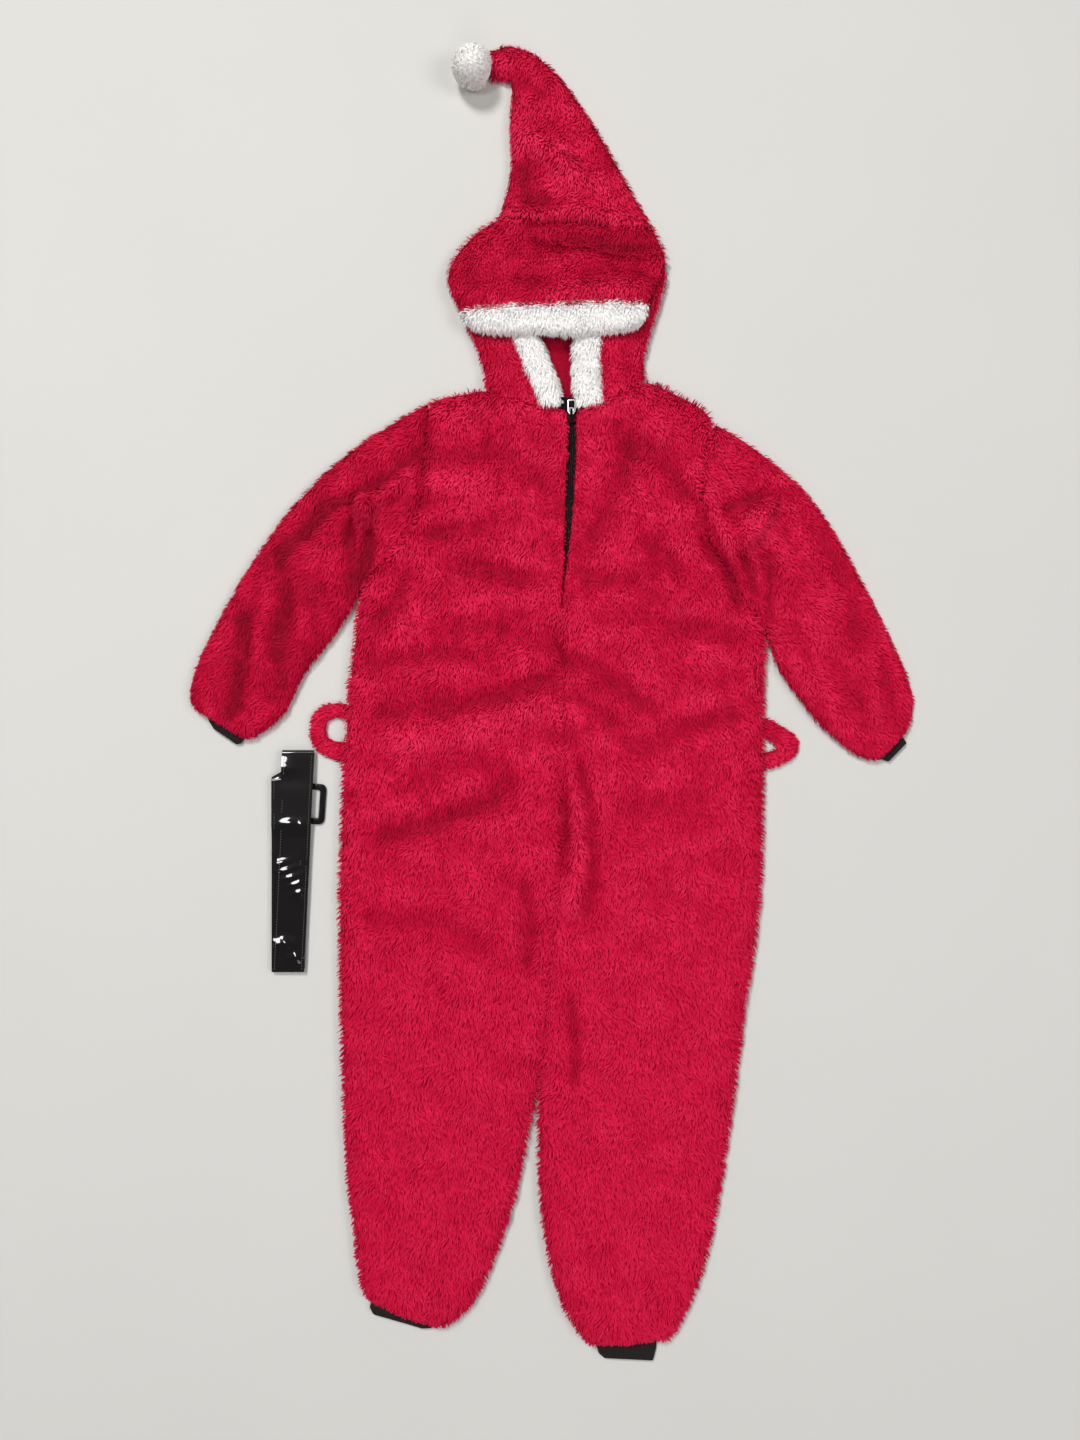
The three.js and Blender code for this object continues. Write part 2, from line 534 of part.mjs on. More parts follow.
// A flattened tube with a wall, open at both ends: for each row a ring of points outside and one
// inside, each with its upper layer's columns and then its lower layer's.
function flatTube(columns, rows, outside, inside) {
  const ring = 2 * (columns + 1);
  const positions = [];
  for (const point of [outside, inside]) {
    for (let j = 0; j <= rows; j += 1) {
      for (let i = 0; i <= columns; i += 1) positions.push(...point(i, j, true));
      for (let i = columns; i >= 0; i -= 1) positions.push(...point(i, j, false));
    }
  }
  const layer = ring * (rows + 1);
  const faces = [];
  for (let k = 0; k < ring; k += 1) {
    const next = (k + 1) % ring;
    for (let j = 0; j < rows; j += 1) {
      const row = j * ring;
      quad(faces, row + k, row + next, row + ring + next, row + ring + k);
      quad(faces, layer + row + k, layer + row + ring + k, layer + row + ring + next, layer + row + next);
    }
    quad(faces, k, layer + k, layer + next, next);
    const end = rows * ring;
    quad(faces, end + k, end + next, layer + end + next, layer + end + k);
  }
  return outwards(positions, faces);
}

function asManifold(geometry) {
  const bare = geometry.clone();
  bare.deleteAttribute("normal");
  bare.deleteAttribute("uv");
  const merged = mergeVertices(bare, 1e-4);
  const vertProperties = new Float32Array(merged.attributes.position.array);
  const triVerts = new Uint32Array(merged.index.array);
  return new wasm.Manifold(new wasm.Mesh({ numProp: 3, vertProperties, triVerts }));
}

function fromManifold(solid) {
  const mesh = solid.getMesh();
  const geometry = new THREE.BufferGeometry();
  geometry.setAttribute("position", new THREE.BufferAttribute(new Float32Array(mesh.vertProperties), 3));
  geometry.setIndex(Array.from(mesh.triVerts));
  return geometry;
}

// ---------------------------------------------------------------- the group

const suit = new THREE.Group();

function addNode(name, geometry, color, roughness, metalness = 0) {
  const material = new THREE.MeshStandardMaterial({ color, roughness, metalness });
  const mesh = new THREE.Mesh(geometry, material);
  mesh.name = name;
  suit.add(mesh);
}

// ---------------------------------------------------------------- body panels

// The neck and shoulder line in a panel's own columns, from the centre outwards.
function topLine(neck, shoulder, column) {
  if (column <= NECK_COLUMNS) {
    return rowAt(neck, column / NECK_COLUMNS);
  }
  return rowAt(shoulder, (column - NECK_COLUMNS) / (PANEL_COLUMNS - NECK_COLUMNS));
}

// side is -1 for the panel at the left and 1 at the right; zipped panels stand back from the zip.
function panelPoint(panel, column, t, zipped) {
  const row = rowAt(panel.rows, t);
  const half = zipped ? row.half : SEAM;
  const share = towardsEdges(column / PANEL_COLUMNS);
  const inX = row.midX + panel.side * half;
  const point = { x: mix(inX, row.outX, share), y: mix(row.inY, row.outY, share) };
  if (column > 0 && row.bow > 0) {
    const top = panel.rows[0];
    const line = topLine(panel.neck, panel.shoulder, column);
    point.x += row.bow * (line.x - mix(top.midX + panel.side * half, top.outX, share));
    point.y += row.bow * (line.y - mix(top.inY, top.outY, share));
  }
  return point;
}

const PANELS = {
  left: { rows: LEFT_ROWS, neck: NECK_LEFT, shoulder: SHOULDER_LEFT, side: -1 },
  right: { rows: RIGHT_ROWS, neck: NECK_RIGHT, shoulder: SHOULDER_RIGHT, side: 1 },
};

// Where a panel's row lies between shoulder and hem.
function panelRow(panel, j) {
  const armpit = ARMHOLE_SECTIONS / (panel.rows.length - 1);
  return j < ARMHOLE_ROWS
    ? (armpit * j) / ARMHOLE_ROWS
    : mix(armpit, 1, (j - ARMHOLE_ROWS) / SIDE_ROWS);
}

function bodyPanel(panel, front) {
  const rows = ARMHOLE_ROWS + SIDE_ROWS;
  const point = (i, j) => panelPoint(panel, i, panelRow(panel, j), front);
  const over = (i, j) => {
    const { x, y } = point(i, j);
    return [x, y, front ? frontOutside(x, y) : CLOTH];
  };
  const under = (i, j) => {
    const { x, y } = point(i, j);
    return [x, y, front ? frontInside(x, y) : backOutside(x, y)];
  };
  return sheet(PANEL_COLUMNS, rows, over, under);
}

for (const [name, panel] of Object.entries(PANELS)) {
  addNode(`front_${name}`, bodyPanel(panel, true), RED, 0.95);
  addNode(`back_${name}`, bodyPanel(panel, false), RED, 0.95);
}

// ---------------------------------------------------------------- sleeves, hat and cuffs

// A corner of the armhole as its panel has it, moved off by a seam's gap.
function armholeCorner(panel, share) {
  const last = panel.rows.length - 1;
  const t = (share * ARMHOLE_SECTIONS) / last;
  const here = rowAt(panel.rows, t);
  const before = rowAt(panel.rows, Math.max(t - 0.004, 0));
  const after = rowAt(panel.rows, t + 0.004);
  const dx = after.outX - before.outX;
  const dy = after.outY - before.outY;
  const length = Math.hypot(dx, dy);
  const gap = 3 * SEAM * panel.side;
  return { x: here.outX - (gap * dy) / length, y: here.outY + (gap * dx) / length };
}

// The armhole between its corners, straight as the panel's edge is.
function armhole(panel, share) {
  const corner = Math.min(Math.floor(share * ARMHOLE_ROWS), ARMHOLE_ROWS - 1);
  const a = armholeCorner(panel, corner / ARMHOLE_ROWS);
  const b = armholeCorner(panel, (corner + 1) / ARMHOLE_ROWS);
  const along = share * ARMHOLE_ROWS - corner;
  return { x: mix(a.x, b.x, along), y: mix(a.y, b.y, along) };
}

function sleevePoint(panel, rows, share, t) {
  const row = rowAt(rows, t);
  const spaced = mix(towardsEdges(share), share, clamp(3 * row.bow, 0, 1));
  const point = { x: mix(row.outX, row.inX, spaced), y: mix(row.outY, row.inY, spaced) };
  if (row.bow > 0.01) {
    const top = armhole(panel, share);
    const start = armhole(panel, 0);
    const end = armhole(panel, 1);
    point.x += row.bow * (top.x - mix(start.x, end.x, share));
    point.y += row.bow * (top.y - mix(start.y, end.y, share));
    if (t === 0) {
      return top;
    }
  }
  return point;
}

// A tube of cloth that lies as the garment's front and back layers do.
function clothTube(columns, rows, pointAt, widthAt, inset) {
  const outside = (i, j, upper) => {
    const { x, y } = pointAt(i / columns, j / rows);
    return [x, y, upper ? frontOutside(x, y) : backOutside(x, y)];
  };
  const inside = (i, j, upper) => {
    const margin = inset / widthAt(j / rows);
    const { x, y } = pointAt(mix(margin, 1 - margin, i / columns), j / rows);
    const over = pointAt(i / columns, j / rows);
    const ceiling = Math.min(frontInside(x, y), frontOutside(over.x, over.y) - RIM);
    return [x, y, upper ? ceiling : CLOTH];
  };
  return flatTube(columns, rows, outside, inside);
}

function sleeve(panel, rows) {
  const stations = rows.length - 1;
  const widthAt = (t) => {
    const row = rowAt(rows, t);
    return Math.hypot(row.outX - row.inX, row.outY - row.inY);
  };
  const pointAt = (share, t) => sleevePoint(panel, rows, share, t);
  return clothTube(ARMHOLE_ROWS, stations, pointAt, widthAt, SLEEVE_INSET);
}

addNode("sleeve_left", sleeve(PANELS.left, LEFT_SLEEVE), RED, 0.95);
addNode("sleeve_right", sleeve(PANELS.right, RIGHT_SLEEVE), RED, 0.95);

function hatPoint(share, t) {
  const row = rowAt(HAT, t);
  const spaced = towardsEdges(share);
  return { x: mix(row.leftX, row.rightX, spaced), y: mix(row.leftY, row.rightY, spaced) };
}

function hatWidth(t) {
  const row = rowAt(HAT, t);
  return Math.hypot(row.leftX - row.rightX, row.leftY - row.rightY);
}

addNode("hat_cone", clothTube(HAT_COLUMNS, HAT_ROWS, hatPoint, hatWidth, SLEEVE_INSET), RED, 0.95);

function cuff(rows) {
  const stations = rows.length - 1;
  const pointAt = (share, t) => {
    const row = rowAt(rows, t);
    return {
      x: mix(row.outX, row.inX, share),
      y: mix(row.outY, row.inY, share),
      away: Math.min(share, 1 - share) * Math.hypot(row.outX - row.inX, row.outY - row.inY),
    };
  };
  const outside = (i, j, upper) => {
    const { x, y, away } = pointAt(towardsEdges(i / CUFF_COLUMNS), j / stations);
    const half = 1 + (CUFF_HEIGHT / 2 - 1) * turned(away, CUFF_ROUND);
    return [x, y, CUFF_CLEAR + CUFF_HEIGHT / 2 + (upper ? half : -half)];
  };
  const inside = (i, j, upper) => {
    const margin = CUFF_ROUND / 50;
    const { x, y } = pointAt(mix(margin, 1 - margin, towardsEdges(i / CUFF_COLUMNS)), j / stations);
    const half = CUFF_HEIGHT / 2 - RIB;
    return [x, y, CUFF_CLEAR + CUFF_HEIGHT / 2 + (upper ? half : -half)];
  };
  return flatTube(CUFF_COLUMNS, stations, outside, inside);
}

addNode("wrist_cuff_left", cuff(WRIST_LEFT), BLACK, 0.9);
addNode("wrist_cuff_right", cuff(WRIST_RIGHT), BLACK, 0.9);
addNode("ankle_cuff_left", cuff(ANKLE_LEFT), BLACK, 0.9);
addNode("ankle_cuff_right", cuff(ANKLE_RIGHT), BLACK, 0.9);

// ---------------------------------------------------------------- hood

function hoodBackPoint(i, t) {
  const row = rowAt(HOOD_BACK, t);
  const share = i / HOOD_COLUMNS;
  const point = { x: mix(row.leftX, row.rightX, share), y: mix(row.leftY, row.rightY, share) };
  if (row.bow > 0) {
    const last = HOOD_BACK[HOOD_BACK.length - 1];
    const fromCentre = Math.abs(i - NECK_COLUMNS) / NECK_COLUMNS;
    const line = rowAt(i < NECK_COLUMNS ? NECK_LEFT : NECK_RIGHT, fromCentre);
    point.x += row.bow * (line.x - mix(last.leftX, last.rightX, share));
    point.y += row.bow * (line.y + 2 * SEAM - mix(last.leftY, last.rightY, share));
  }
  return point;
}

const HOOD_BACK_ROWS = HOOD_BACK.length - 1;

addNode("hood_back", sheet(
  HOOD_COLUMNS,
  HOOD_BACK_ROWS,
  (i, j) => {
    const { x, y } = hoodBackPoint(i, j / HOOD_BACK_ROWS);
    return [x, y, CLOTH];
  },
  (i, j) => {
    const { x, y } = hoodBackPoint(i, j / HOOD_BACK_ROWS);
    return [x, y, backOutside(x, y)];
  },
), RED, 0.95);

// How far the crown and the brow band are lifted over the hood's sides and the face strips.
function rise(x, y) {
  const ramp = clamp((RISE_START - y) / (RISE_START - RISE_END), 0, 1);
  return ramp * (wall(fromEdge(x, y), FUR) + LAP);
}

// A flat piece of the front layer between two edges of a table. thickness and raised are given
// the point, and how far it is from the nearer of the two edges.
function frontPiece(rows, names, columns, thickness, raised = () => 0, moved = () => 0) {
  const [from, to] = names;
  const stations = (rows.length - 1) * 2;
  const pointAt = (i, j) => {
    const row = rowAt(rows, j / stations);
    const share = towardsEdges(i / columns);
    const x = mix(row[`${from}X`], row[`${to}X`], share);
    const level = mix(row[`${from}Y`], row[`${to}Y`], share);
    const y = level + moved(x, level, j / stations);
    const width = Math.hypot(row[`${from}X`] - row[`${to}X`], row[`${from}Y`] - row[`${to}Y`]);
    const away = Math.min(share, 1 - share) * width;
    return { x, y, inside: frontInside(x, y) + raised(x, y), away };
  };
  const over = (i, j) => {
    const point = pointAt(i, j);
    return [point.x, point.y, point.inside + thickness(point)];
  };
  const under = (i, j) => {
    const point = pointAt(i, j);
    return [point.x, point.y, point.inside];
  };
  return sheet(columns, stations, over, under);
}

// The crown's lower edge follows the brow band's upper edge.
function alongBrow(x, y, t) {
  const stations = (BROW.length - 1) * 2;
  let above = 0;
  for (let k = 0; k < stations; k += 1) {
    const a = rowAt(BROW, k / stations);
    const b = rowAt(BROW, (k + 1) / stations);
    if (x >= a.topX && x <= b.topX) {
      above = mix(a.topY, b.topY, (x - a.topX) / (b.topX - a.topX)) + 2 * SEAM - y;
    }
  }
  return above * t ** 4;
}

const clothWall = ({ x, y }) => wall(fromEdge(x, y));
const furWall = (full, reach) => ({ away }) => RIM + 1 + (full - RIM - 1) * turned(away, reach);

addNode("hood_left", frontPiece(HOOD_LEFT, ["out", "in"], 4, clothWall), RED, 0.95);
addNode("hood_right", frontPiece(HOOD_RIGHT, ["out", "in"], 4, clothWall), RED, 0.95);
addNode("hood_crown", frontPiece(CROWN, ["left", "right"], 12, clothWall, rise, alongBrow), RED, 0.95);
addNode("trim_left", frontPiece(TRIM_LEFT, ["left", "right"], 4, furWall(FUR, 9)), WHITE, 0.95);
addNode("trim_right", frontPiece(TRIM_RIGHT, ["left", "right"], 4, furWall(FUR, 9)), WHITE, 0.95);
addNode("trim_brow", frontPiece(BROW, ["top", "low"], 6, furWall(BROW_FUR, 12), rise), WHITE, 0.95);

// ---------------------------------------------------------------- pompom

function pompom() {
  const centre = new THREE.Vector3(POMPOM.x, POMPOM.y, POMPOM.core);
  const core = new THREE.IcosahedronGeometry(POMPOM.core, 2).translate(centre.x, centre.y, centre.z);
  let ball = asManifold(core);
  const up = new THREE.Vector3(0, 1, 0);
  const golden = Math.PI * (3 - Math.sqrt(5));
  for (let k = 0; k < POMPOM.locks; k += 1) {
    const z = 1 - (2 * (k + 0.5)) / POMPOM.locks;
    const flat = Math.sqrt(1 - z * z);
    const way = new THREE.Vector3(flat * Math.cos(golden * k), flat * Math.sin(golden * k), z);
    const towardsHat = way.x > 0.55;
    const towardsFloor = centre.z + way.z * POMPOM.reach < 1;
    if (!towardsHat && !towardsFloor) {
      const inner = POMPOM.core - 4;
      const length = POMPOM.reach - inner;
      const lock = new THREE.CylinderGeometry(POMPOM.tip, POMPOM.root, length, 3, 1);
      lock.translate(0, inner + length / 2, 0);
      lock.applyQuaternion(new THREE.Quaternion().setFromUnitVectors(up, way));
      lock.translate(centre.x, centre.y, centre.z);
      ball = ball.add(asManifold(lock));
    }
  }
  return fromManifold(ball);
}

addNode("pompom", pompom(), WHITE, 0.95);

// ---------------------------------------------------------------- zip

function tapeMiddle(share) {
  const row = rowAt(LEFT_ROWS, (share * ZIP_SECTIONS) / (LEFT_ROWS.length - 1));
  return { x: row.midX, y: row.inY };
}

function zipTape(side) {
  const pointAt = (i, j) => {
    const middle = j === 0 ? { x: TAPE_TOP.midX, y: TAPE_TOP.y } : tapeMiddle((j - 1) / (TAPE_ROWS - 1));
    const x = middle.x + side * mix(SEAM / 2, TAPE_WIDTH, i / 2);
    return { x, y: middle.y, top: frontInside(x, Math.min(middle.y, 440)) - TAPE_CLEAR };
  };
  const over = (i, j) => {
    const { x, y, top } = pointAt(i, j);
    return [x, y, top];
  };
  const under = (i, j) => {
    const { x, y, top } = pointAt(i, j);
    return [x, y, top - TAPE];
  };
  return sheet(2, TAPE_ROWS, over, under);
}

addNode("zip_tape_left", zipTape(-1), BLACK, 0.7);
addNode("zip_tape_right", zipTape(1), BLACK, 0.7);

const SLIDER_BASE = frontInside(SLIDER.x, SLIDER.y) - TAPE_CLEAR + SEAM + 0.3;
const PIVOT = {
  x: SLIDER.x,
  y: SLIDER.y + 5,
  z: SLIDER_BASE + SLIDER.height + BRIDGE.hole,
};

// The body is wide at its shoulders and narrow where the closed teeth leave it, with an arch on
// top that holds the pull tab's pin.
function zipSlider() {
  const half = SLIDER.width / 2;
  const narrow = half * SLIDER.waist;
  const plan = new THREE.Shape();
  plan.moveTo(-narrow, -SLIDER.length / 2);
  plan.lineTo(narrow, -SLIDER.length / 2);
  plan.quadraticCurveTo(half, 0, half, SLIDER.length / 2 - 2);
  plan.quadraticCurveTo(half, SLIDER.length / 2, half - 2, SLIDER.length / 2);
  plan.lineTo(-half + 2, SLIDER.length / 2);
  plan.quadraticCurveTo(-half, SLIDER.length / 2, -half, SLIDER.length / 2 - 2);
  plan.quadraticCurveTo(-half, 0, -narrow, -SLIDER.length / 2);
  const body = new THREE.ExtrudeGeometry(plan, {
    depth: SLIDER.height,
    bevelEnabled: false,
    curveSegments: 4,
  });
  body.translate(SLIDER.x, SLIDER.y, SLIDER_BASE);
  const reach = BRIDGE.hole + BRIDGE.bar;
  const arch = new THREE.Shape();
  arch.moveTo(-BRIDGE.length / 2 - 2, -1);
  arch.lineTo(BRIDGE.length / 2, -1);
  arch.lineTo(reach, BRIDGE.hole * 2 + BRIDGE.bar);
  arch.lineTo(-reach, BRIDGE.hole * 2 + BRIDGE.bar);
  const rim = [];
  for (let k = 0; k < 12; k += 1) {
    const angle = (-2 * Math.PI * k) / 12;
    rim.push(new THREE.Vector2(BRIDGE.hole * Math.cos(angle), BRIDGE.hole * (1 + Math.sin(angle))));
  }
  arch.holes.push(new THREE.Path(rim));
  const bridge = new THREE.ExtrudeGeometry(arch, { depth: BRIDGE.width, bevelEnabled: false });
  bridge.rotateX(Math.PI / 2);
  bridge.rotateZ(Math.PI / 2);
  bridge.translate(PIVOT.x - BRIDGE.width / 2, PIVOT.y, SLIDER_BASE + SLIDER.height);
  return fromManifold(asManifold(body).add(asManifold(bridge)));
}

// A flat tab with an eye at its foot; the eye's cross bar is the pin that turns under the arch.
function zipPull() {
  const half = PULL.width / 2;
  const foot = -PULL.pin - 0.2;
  const plan = new THREE.Shape();
  plan.moveTo(-half + 2.5, foot + PULL.pin);
  plan.lineTo(half - 2.5, foot + PULL.pin);
  plan.lineTo(half, 4);
  plan.lineTo(half, PULL.length - 3);
  plan.quadraticCurveTo(half, PULL.length, half - 3, PULL.length);
  plan.lineTo(-half + 3, PULL.length);
  plan.quadraticCurveTo(-half, PULL.length, -half, PULL.length - 3);
  plan.lineTo(-half, 4);
  const slot = new THREE.Path();
  slot.moveTo(-BRIDGE.width / 2 - 0.7, -1);
  slot.lineTo(-BRIDGE.width / 2 - 0.7, PULL.eye + 3.2);
  slot.lineTo(BRIDGE.width / 2 + 0.7, PULL.eye + 3.2);
  slot.lineTo(BRIDGE.width / 2 + 0.7, -1);
  const options = { depth: PULL.thickness, bevelEnabled: false, curveSegments: 4 };
  const plate = new THREE.ExtrudeGeometry(plan, options).translate(0, 0, -PULL.pin);
  const opening = new THREE.Shape(slot.getPoints());
  const gap = new THREE.ExtrudeGeometry(opening, { depth: 6, bevelEnabled: false });
  gap.translate(0, 0, -3);
  const pin = new THREE.CylinderGeometry(PULL.pin, PULL.pin, PULL.width - 5, 10).rotateZ(Math.PI / 2);
  const tab = asManifold(plate).subtract(asManifold(gap)).add(asManifold(pin));
  return fromManifold(tab).translate(PIVOT.x, PIVOT.y, PIVOT.z);
}

addNode("zip_slider", zipSlider(), BLACK, 0.3, 0.6);
addNode("zip_pull", zipPull(), BLACK, 0.25, 0.6);

// ---------------------------------------------------------------- belt loops

function beltLoop(rows) {
  const columns = 4;
  const stations = rows.length - 1;
  const pointAt = (i, j) => {
    const row = rowAt(rows, j / stations);
    const share = towardsEdges(i / columns);
    const width = Math.hypot(row.outX - row.inX, row.outY - row.inY);
    const away = Math.min(share, 1 - share) * width;
    const half = 1.5 + (LOOP_HEIGHT / 2 - 1.5) * turned(away, LOOP_HEIGHT / 2);
    return { x: mix(row.outX, row.inX, share), y: mix(row.outY, row.inY, share), half };
  };
  const over = (i, j) => {
    const { x, y, half } = pointAt(i, j);
    return [x, y, LOOP_HEIGHT / 2 + half];
  };
  const under = (i, j) => {
    const { x, y, half } = pointAt(i, j);
    return [x, y, LOOP_HEIGHT / 2 - half];
  };
  return sheet(columns, stations, over, under);
}

addNode("belt_loop_left", beltLoop(LOOP_LEFT), RED, 0.95);
addNode("belt_loop_right", beltLoop(LOOP_RIGHT), RED, 0.95);

// ---------------------------------------------------------------- belt

const LEVEL = STRAP.thickness + STRAP.gap;
const BUCKLE = { x: -377, y: -154, width: 62, length: 62, rod: 9.6, height: 4.5, corner: 8, tilt: -4 };
const HUMP = BUCKLE.height + STRAP.gap - LEVEL;

// The strap's runs, from its end beside the buckle to its free end. It lies on itself, so a run's
// level counts the layers under it. fromX and toX are where its middle is at the run's two ends.
const RUNS = [
  { fromY: -196, toY: -404, fromX: -398, toX: -402, level: 0 },
  { fromY: -404, toY: STRAP.top, fromX: -402, toX: -388, level: 1 },
  { fromY: STRAP.top, toY: -409, fromX: -386, toX: -402, level: 3 },
  { fromY: -409, toY: -100, fromX: -403, toX: -403, level: 2 },
];
const RUN_STEPS = 18;
const FOLD_STEPS = 5;

// The layers over the buckle are lifted by it.
function overBuckle(y, level) {
  const past = Math.abs(y - BUCKLE.y) - BUCKLE.length / 2 - 6;
  const share = level === 0 ? 0 : 1 - clamp(past / 14, 0, 1);
  return HUMP * share * share * (3 - 2 * share);
}

function strapPath() {
  const path = [];
  RUNS.forEach((run, index) => {
    for (let k = 0; k <= RUN_STEPS; k += 1) {
      const y = mix(run.fromY, run.toY, k / RUN_STEPS);
      const z = STRAP.thickness / 2 + run.level * LEVEL + overBuckle(y, run.level);
      path.push({ x: mix(run.fromX, run.toX, k / RUN_STEPS), y, z });
    }
    const next = RUNS[index + 1];
    if (next) {
      const side = Math.sign(run.toY - run.fromY);
      const start = path[path.length - 1];
      const endZ = STRAP.thickness / 2 + next.level * LEVEL + overBuckle(next.fromY, next.level);
      const radius = (endZ - start.z) / 2;
      for (let k = 1; k < FOLD_STEPS; k += 1) {
        const angle = (Math.PI * k) / FOLD_STEPS;
        path.push({
          x: mix(start.x, next.fromX, k / FOLD_STEPS),
          y: start.y + side * Math.abs(radius) * Math.sin(angle),
          z: start.z + radius * (1 - Math.cos(angle)),
        });
      }
    }
  });
  return path;
}

function beltStrap() {
  const path = strapPath();
  const last = path.length - 1;
  const columns = 2;
  const normalAt = (j) => {
    const before = path[Math.max(j - 1, 0)];
    const after = path[Math.min(j + 1, last)];
    const length = Math.hypot(after.y - before.y, after.z - before.z);
    return { y: -(after.z - before.z) / length, z: (after.y - before.y) / length };
  };
  const layer = (side) => (i, j) => {
    const across = (i / columns - 0.5) * STRAP.width;
    const normal = normalAt(j);
    const point = path[j];
    const cut = j === last ? (2 * STRAP.point * Math.abs(across)) / STRAP.width : 0;
    const away = (side * STRAP.thickness) / 2;
    return [point.x + across, point.y + normal.y * away - cut, point.z + normal.z * away];
  };
  return sheet(columns, last, layer(1), layer(-1));
}

addNode("belt_strap", beltStrap(), BLACK, 0.15);

function roundedFrame(shape, width, length, radius) {
  const x = width / 2;
  const y = length / 2;
  shape.moveTo(-x + radius, -y);
  shape.lineTo(x - radius, -y);
  shape.absarc(x - radius, -y + radius, radius, -Math.PI / 2, 0, false);
  shape.lineTo(x, y - radius);
  shape.absarc(x - radius, y - radius, radius, 0, Math.PI / 2, false);
  shape.lineTo(-x + radius, y);
  shape.absarc(-x + radius, y - radius, radius, Math.PI / 2, Math.PI, false);
  shape.lineTo(-x, -y + radius);
  shape.absarc(-x + radius, -y + radius, radius, Math.PI, 1.5 * Math.PI, false);
  return shape;
}

function beltBuckle() {
  const bevel = 1;
  const width = BUCKLE.width - 2 * bevel;
  const length = BUCKLE.length - 2 * bevel;
  const outer = roundedFrame(new THREE.Shape(), width, length, BUCKLE.corner);
  const innerWidth = BUCKLE.width - 2 * BUCKLE.rod + 2 * bevel;
  const innerLength = BUCKLE.length - 2 * BUCKLE.rod + 2 * bevel;
  outer.holes.push(roundedFrame(new THREE.Path(), innerWidth, innerLength, 3));
  const frame = new THREE.ExtrudeGeometry(outer, {
    depth: BUCKLE.height - 2 * bevel,
    bevelThickness: bevel,
    bevelSize: bevel,
    bevelSegments: 1,
    curveSegments: 5,
  });
  frame.rotateZ(THREE.MathUtils.degToRad(BUCKLE.tilt));
  return frame.translate(BUCKLE.x, BUCKLE.y, bevel);
}

const buckle = beltBuckle();
buckle.deleteAttribute("normal");
buckle.deleteAttribute("uv");
addNode("belt_buckle", mergeVertices(buckle, 1e-4), BLACK, 0.2);

// ---------------------------------------------------------------- the origin

// The origin is on the surface, under the middle of everything that lies on it.
const box = new THREE.Box3().setFromObject(suit);
const middle = box.getCenter(new THREE.Vector3());
for (const mesh of suit.children) {
  mesh.geometry.translate(-middle.x, -middle.y, 0);
}

export default suit;
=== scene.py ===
"""A hooded Father Christmas jumpsuit in red plush, laid flat on its back, and its folded patent belt."""

import math

import bmesh
import bpy
import numpy as np
from bpy.props import FloatProperty, FloatVectorProperty, PointerProperty
from bpy.types import Operator, Panel, PropertyGroup
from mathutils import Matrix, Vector
from mathutils.bvhtree import BVHTree


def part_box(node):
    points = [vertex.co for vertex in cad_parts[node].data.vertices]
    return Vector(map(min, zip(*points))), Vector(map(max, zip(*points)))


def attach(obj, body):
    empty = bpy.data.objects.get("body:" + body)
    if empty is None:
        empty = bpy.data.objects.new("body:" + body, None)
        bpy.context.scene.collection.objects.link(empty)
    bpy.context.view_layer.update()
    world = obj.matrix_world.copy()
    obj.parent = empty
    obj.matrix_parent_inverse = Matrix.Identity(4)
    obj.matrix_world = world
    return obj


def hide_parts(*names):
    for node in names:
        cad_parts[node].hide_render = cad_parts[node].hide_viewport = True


bl_info = {
    "name": "Plush Jumpsuit",
    "version": (1, 0, 0),
    "blender": (4, 5, 0),
    "location": "3D View > Sidebar > Jumpsuit",
    "description": "Dresses the solids of a hooded plush jumpsuit with pile, fur, ribs, zip and belt",
    "category": "Object",
}

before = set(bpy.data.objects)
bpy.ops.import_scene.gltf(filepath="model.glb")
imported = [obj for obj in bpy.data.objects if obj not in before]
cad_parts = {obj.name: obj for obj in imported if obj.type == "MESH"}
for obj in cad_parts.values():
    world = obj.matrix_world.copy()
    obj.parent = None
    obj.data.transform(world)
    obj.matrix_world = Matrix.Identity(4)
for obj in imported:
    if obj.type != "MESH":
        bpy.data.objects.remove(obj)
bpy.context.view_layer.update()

MM = 0.001
BODY = "suit"

# The suit was laid out on a drawing with an origin of its own. The middle of the slider's foot is
# where the two are matched.
SLIDER_FOOT = (29.2, 421.5)
SLIDER_LOW, SLIDER_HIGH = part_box("zip_slider")
DRAWN = np.array((
    (SLIDER_LOW.x + SLIDER_HIGH.x) / 2 - SLIDER_FOOT[0] * MM,
    SLIDER_LOW.y - SLIDER_FOOT[1] * MM,
))

# ---------------------------------------------------------------- tables

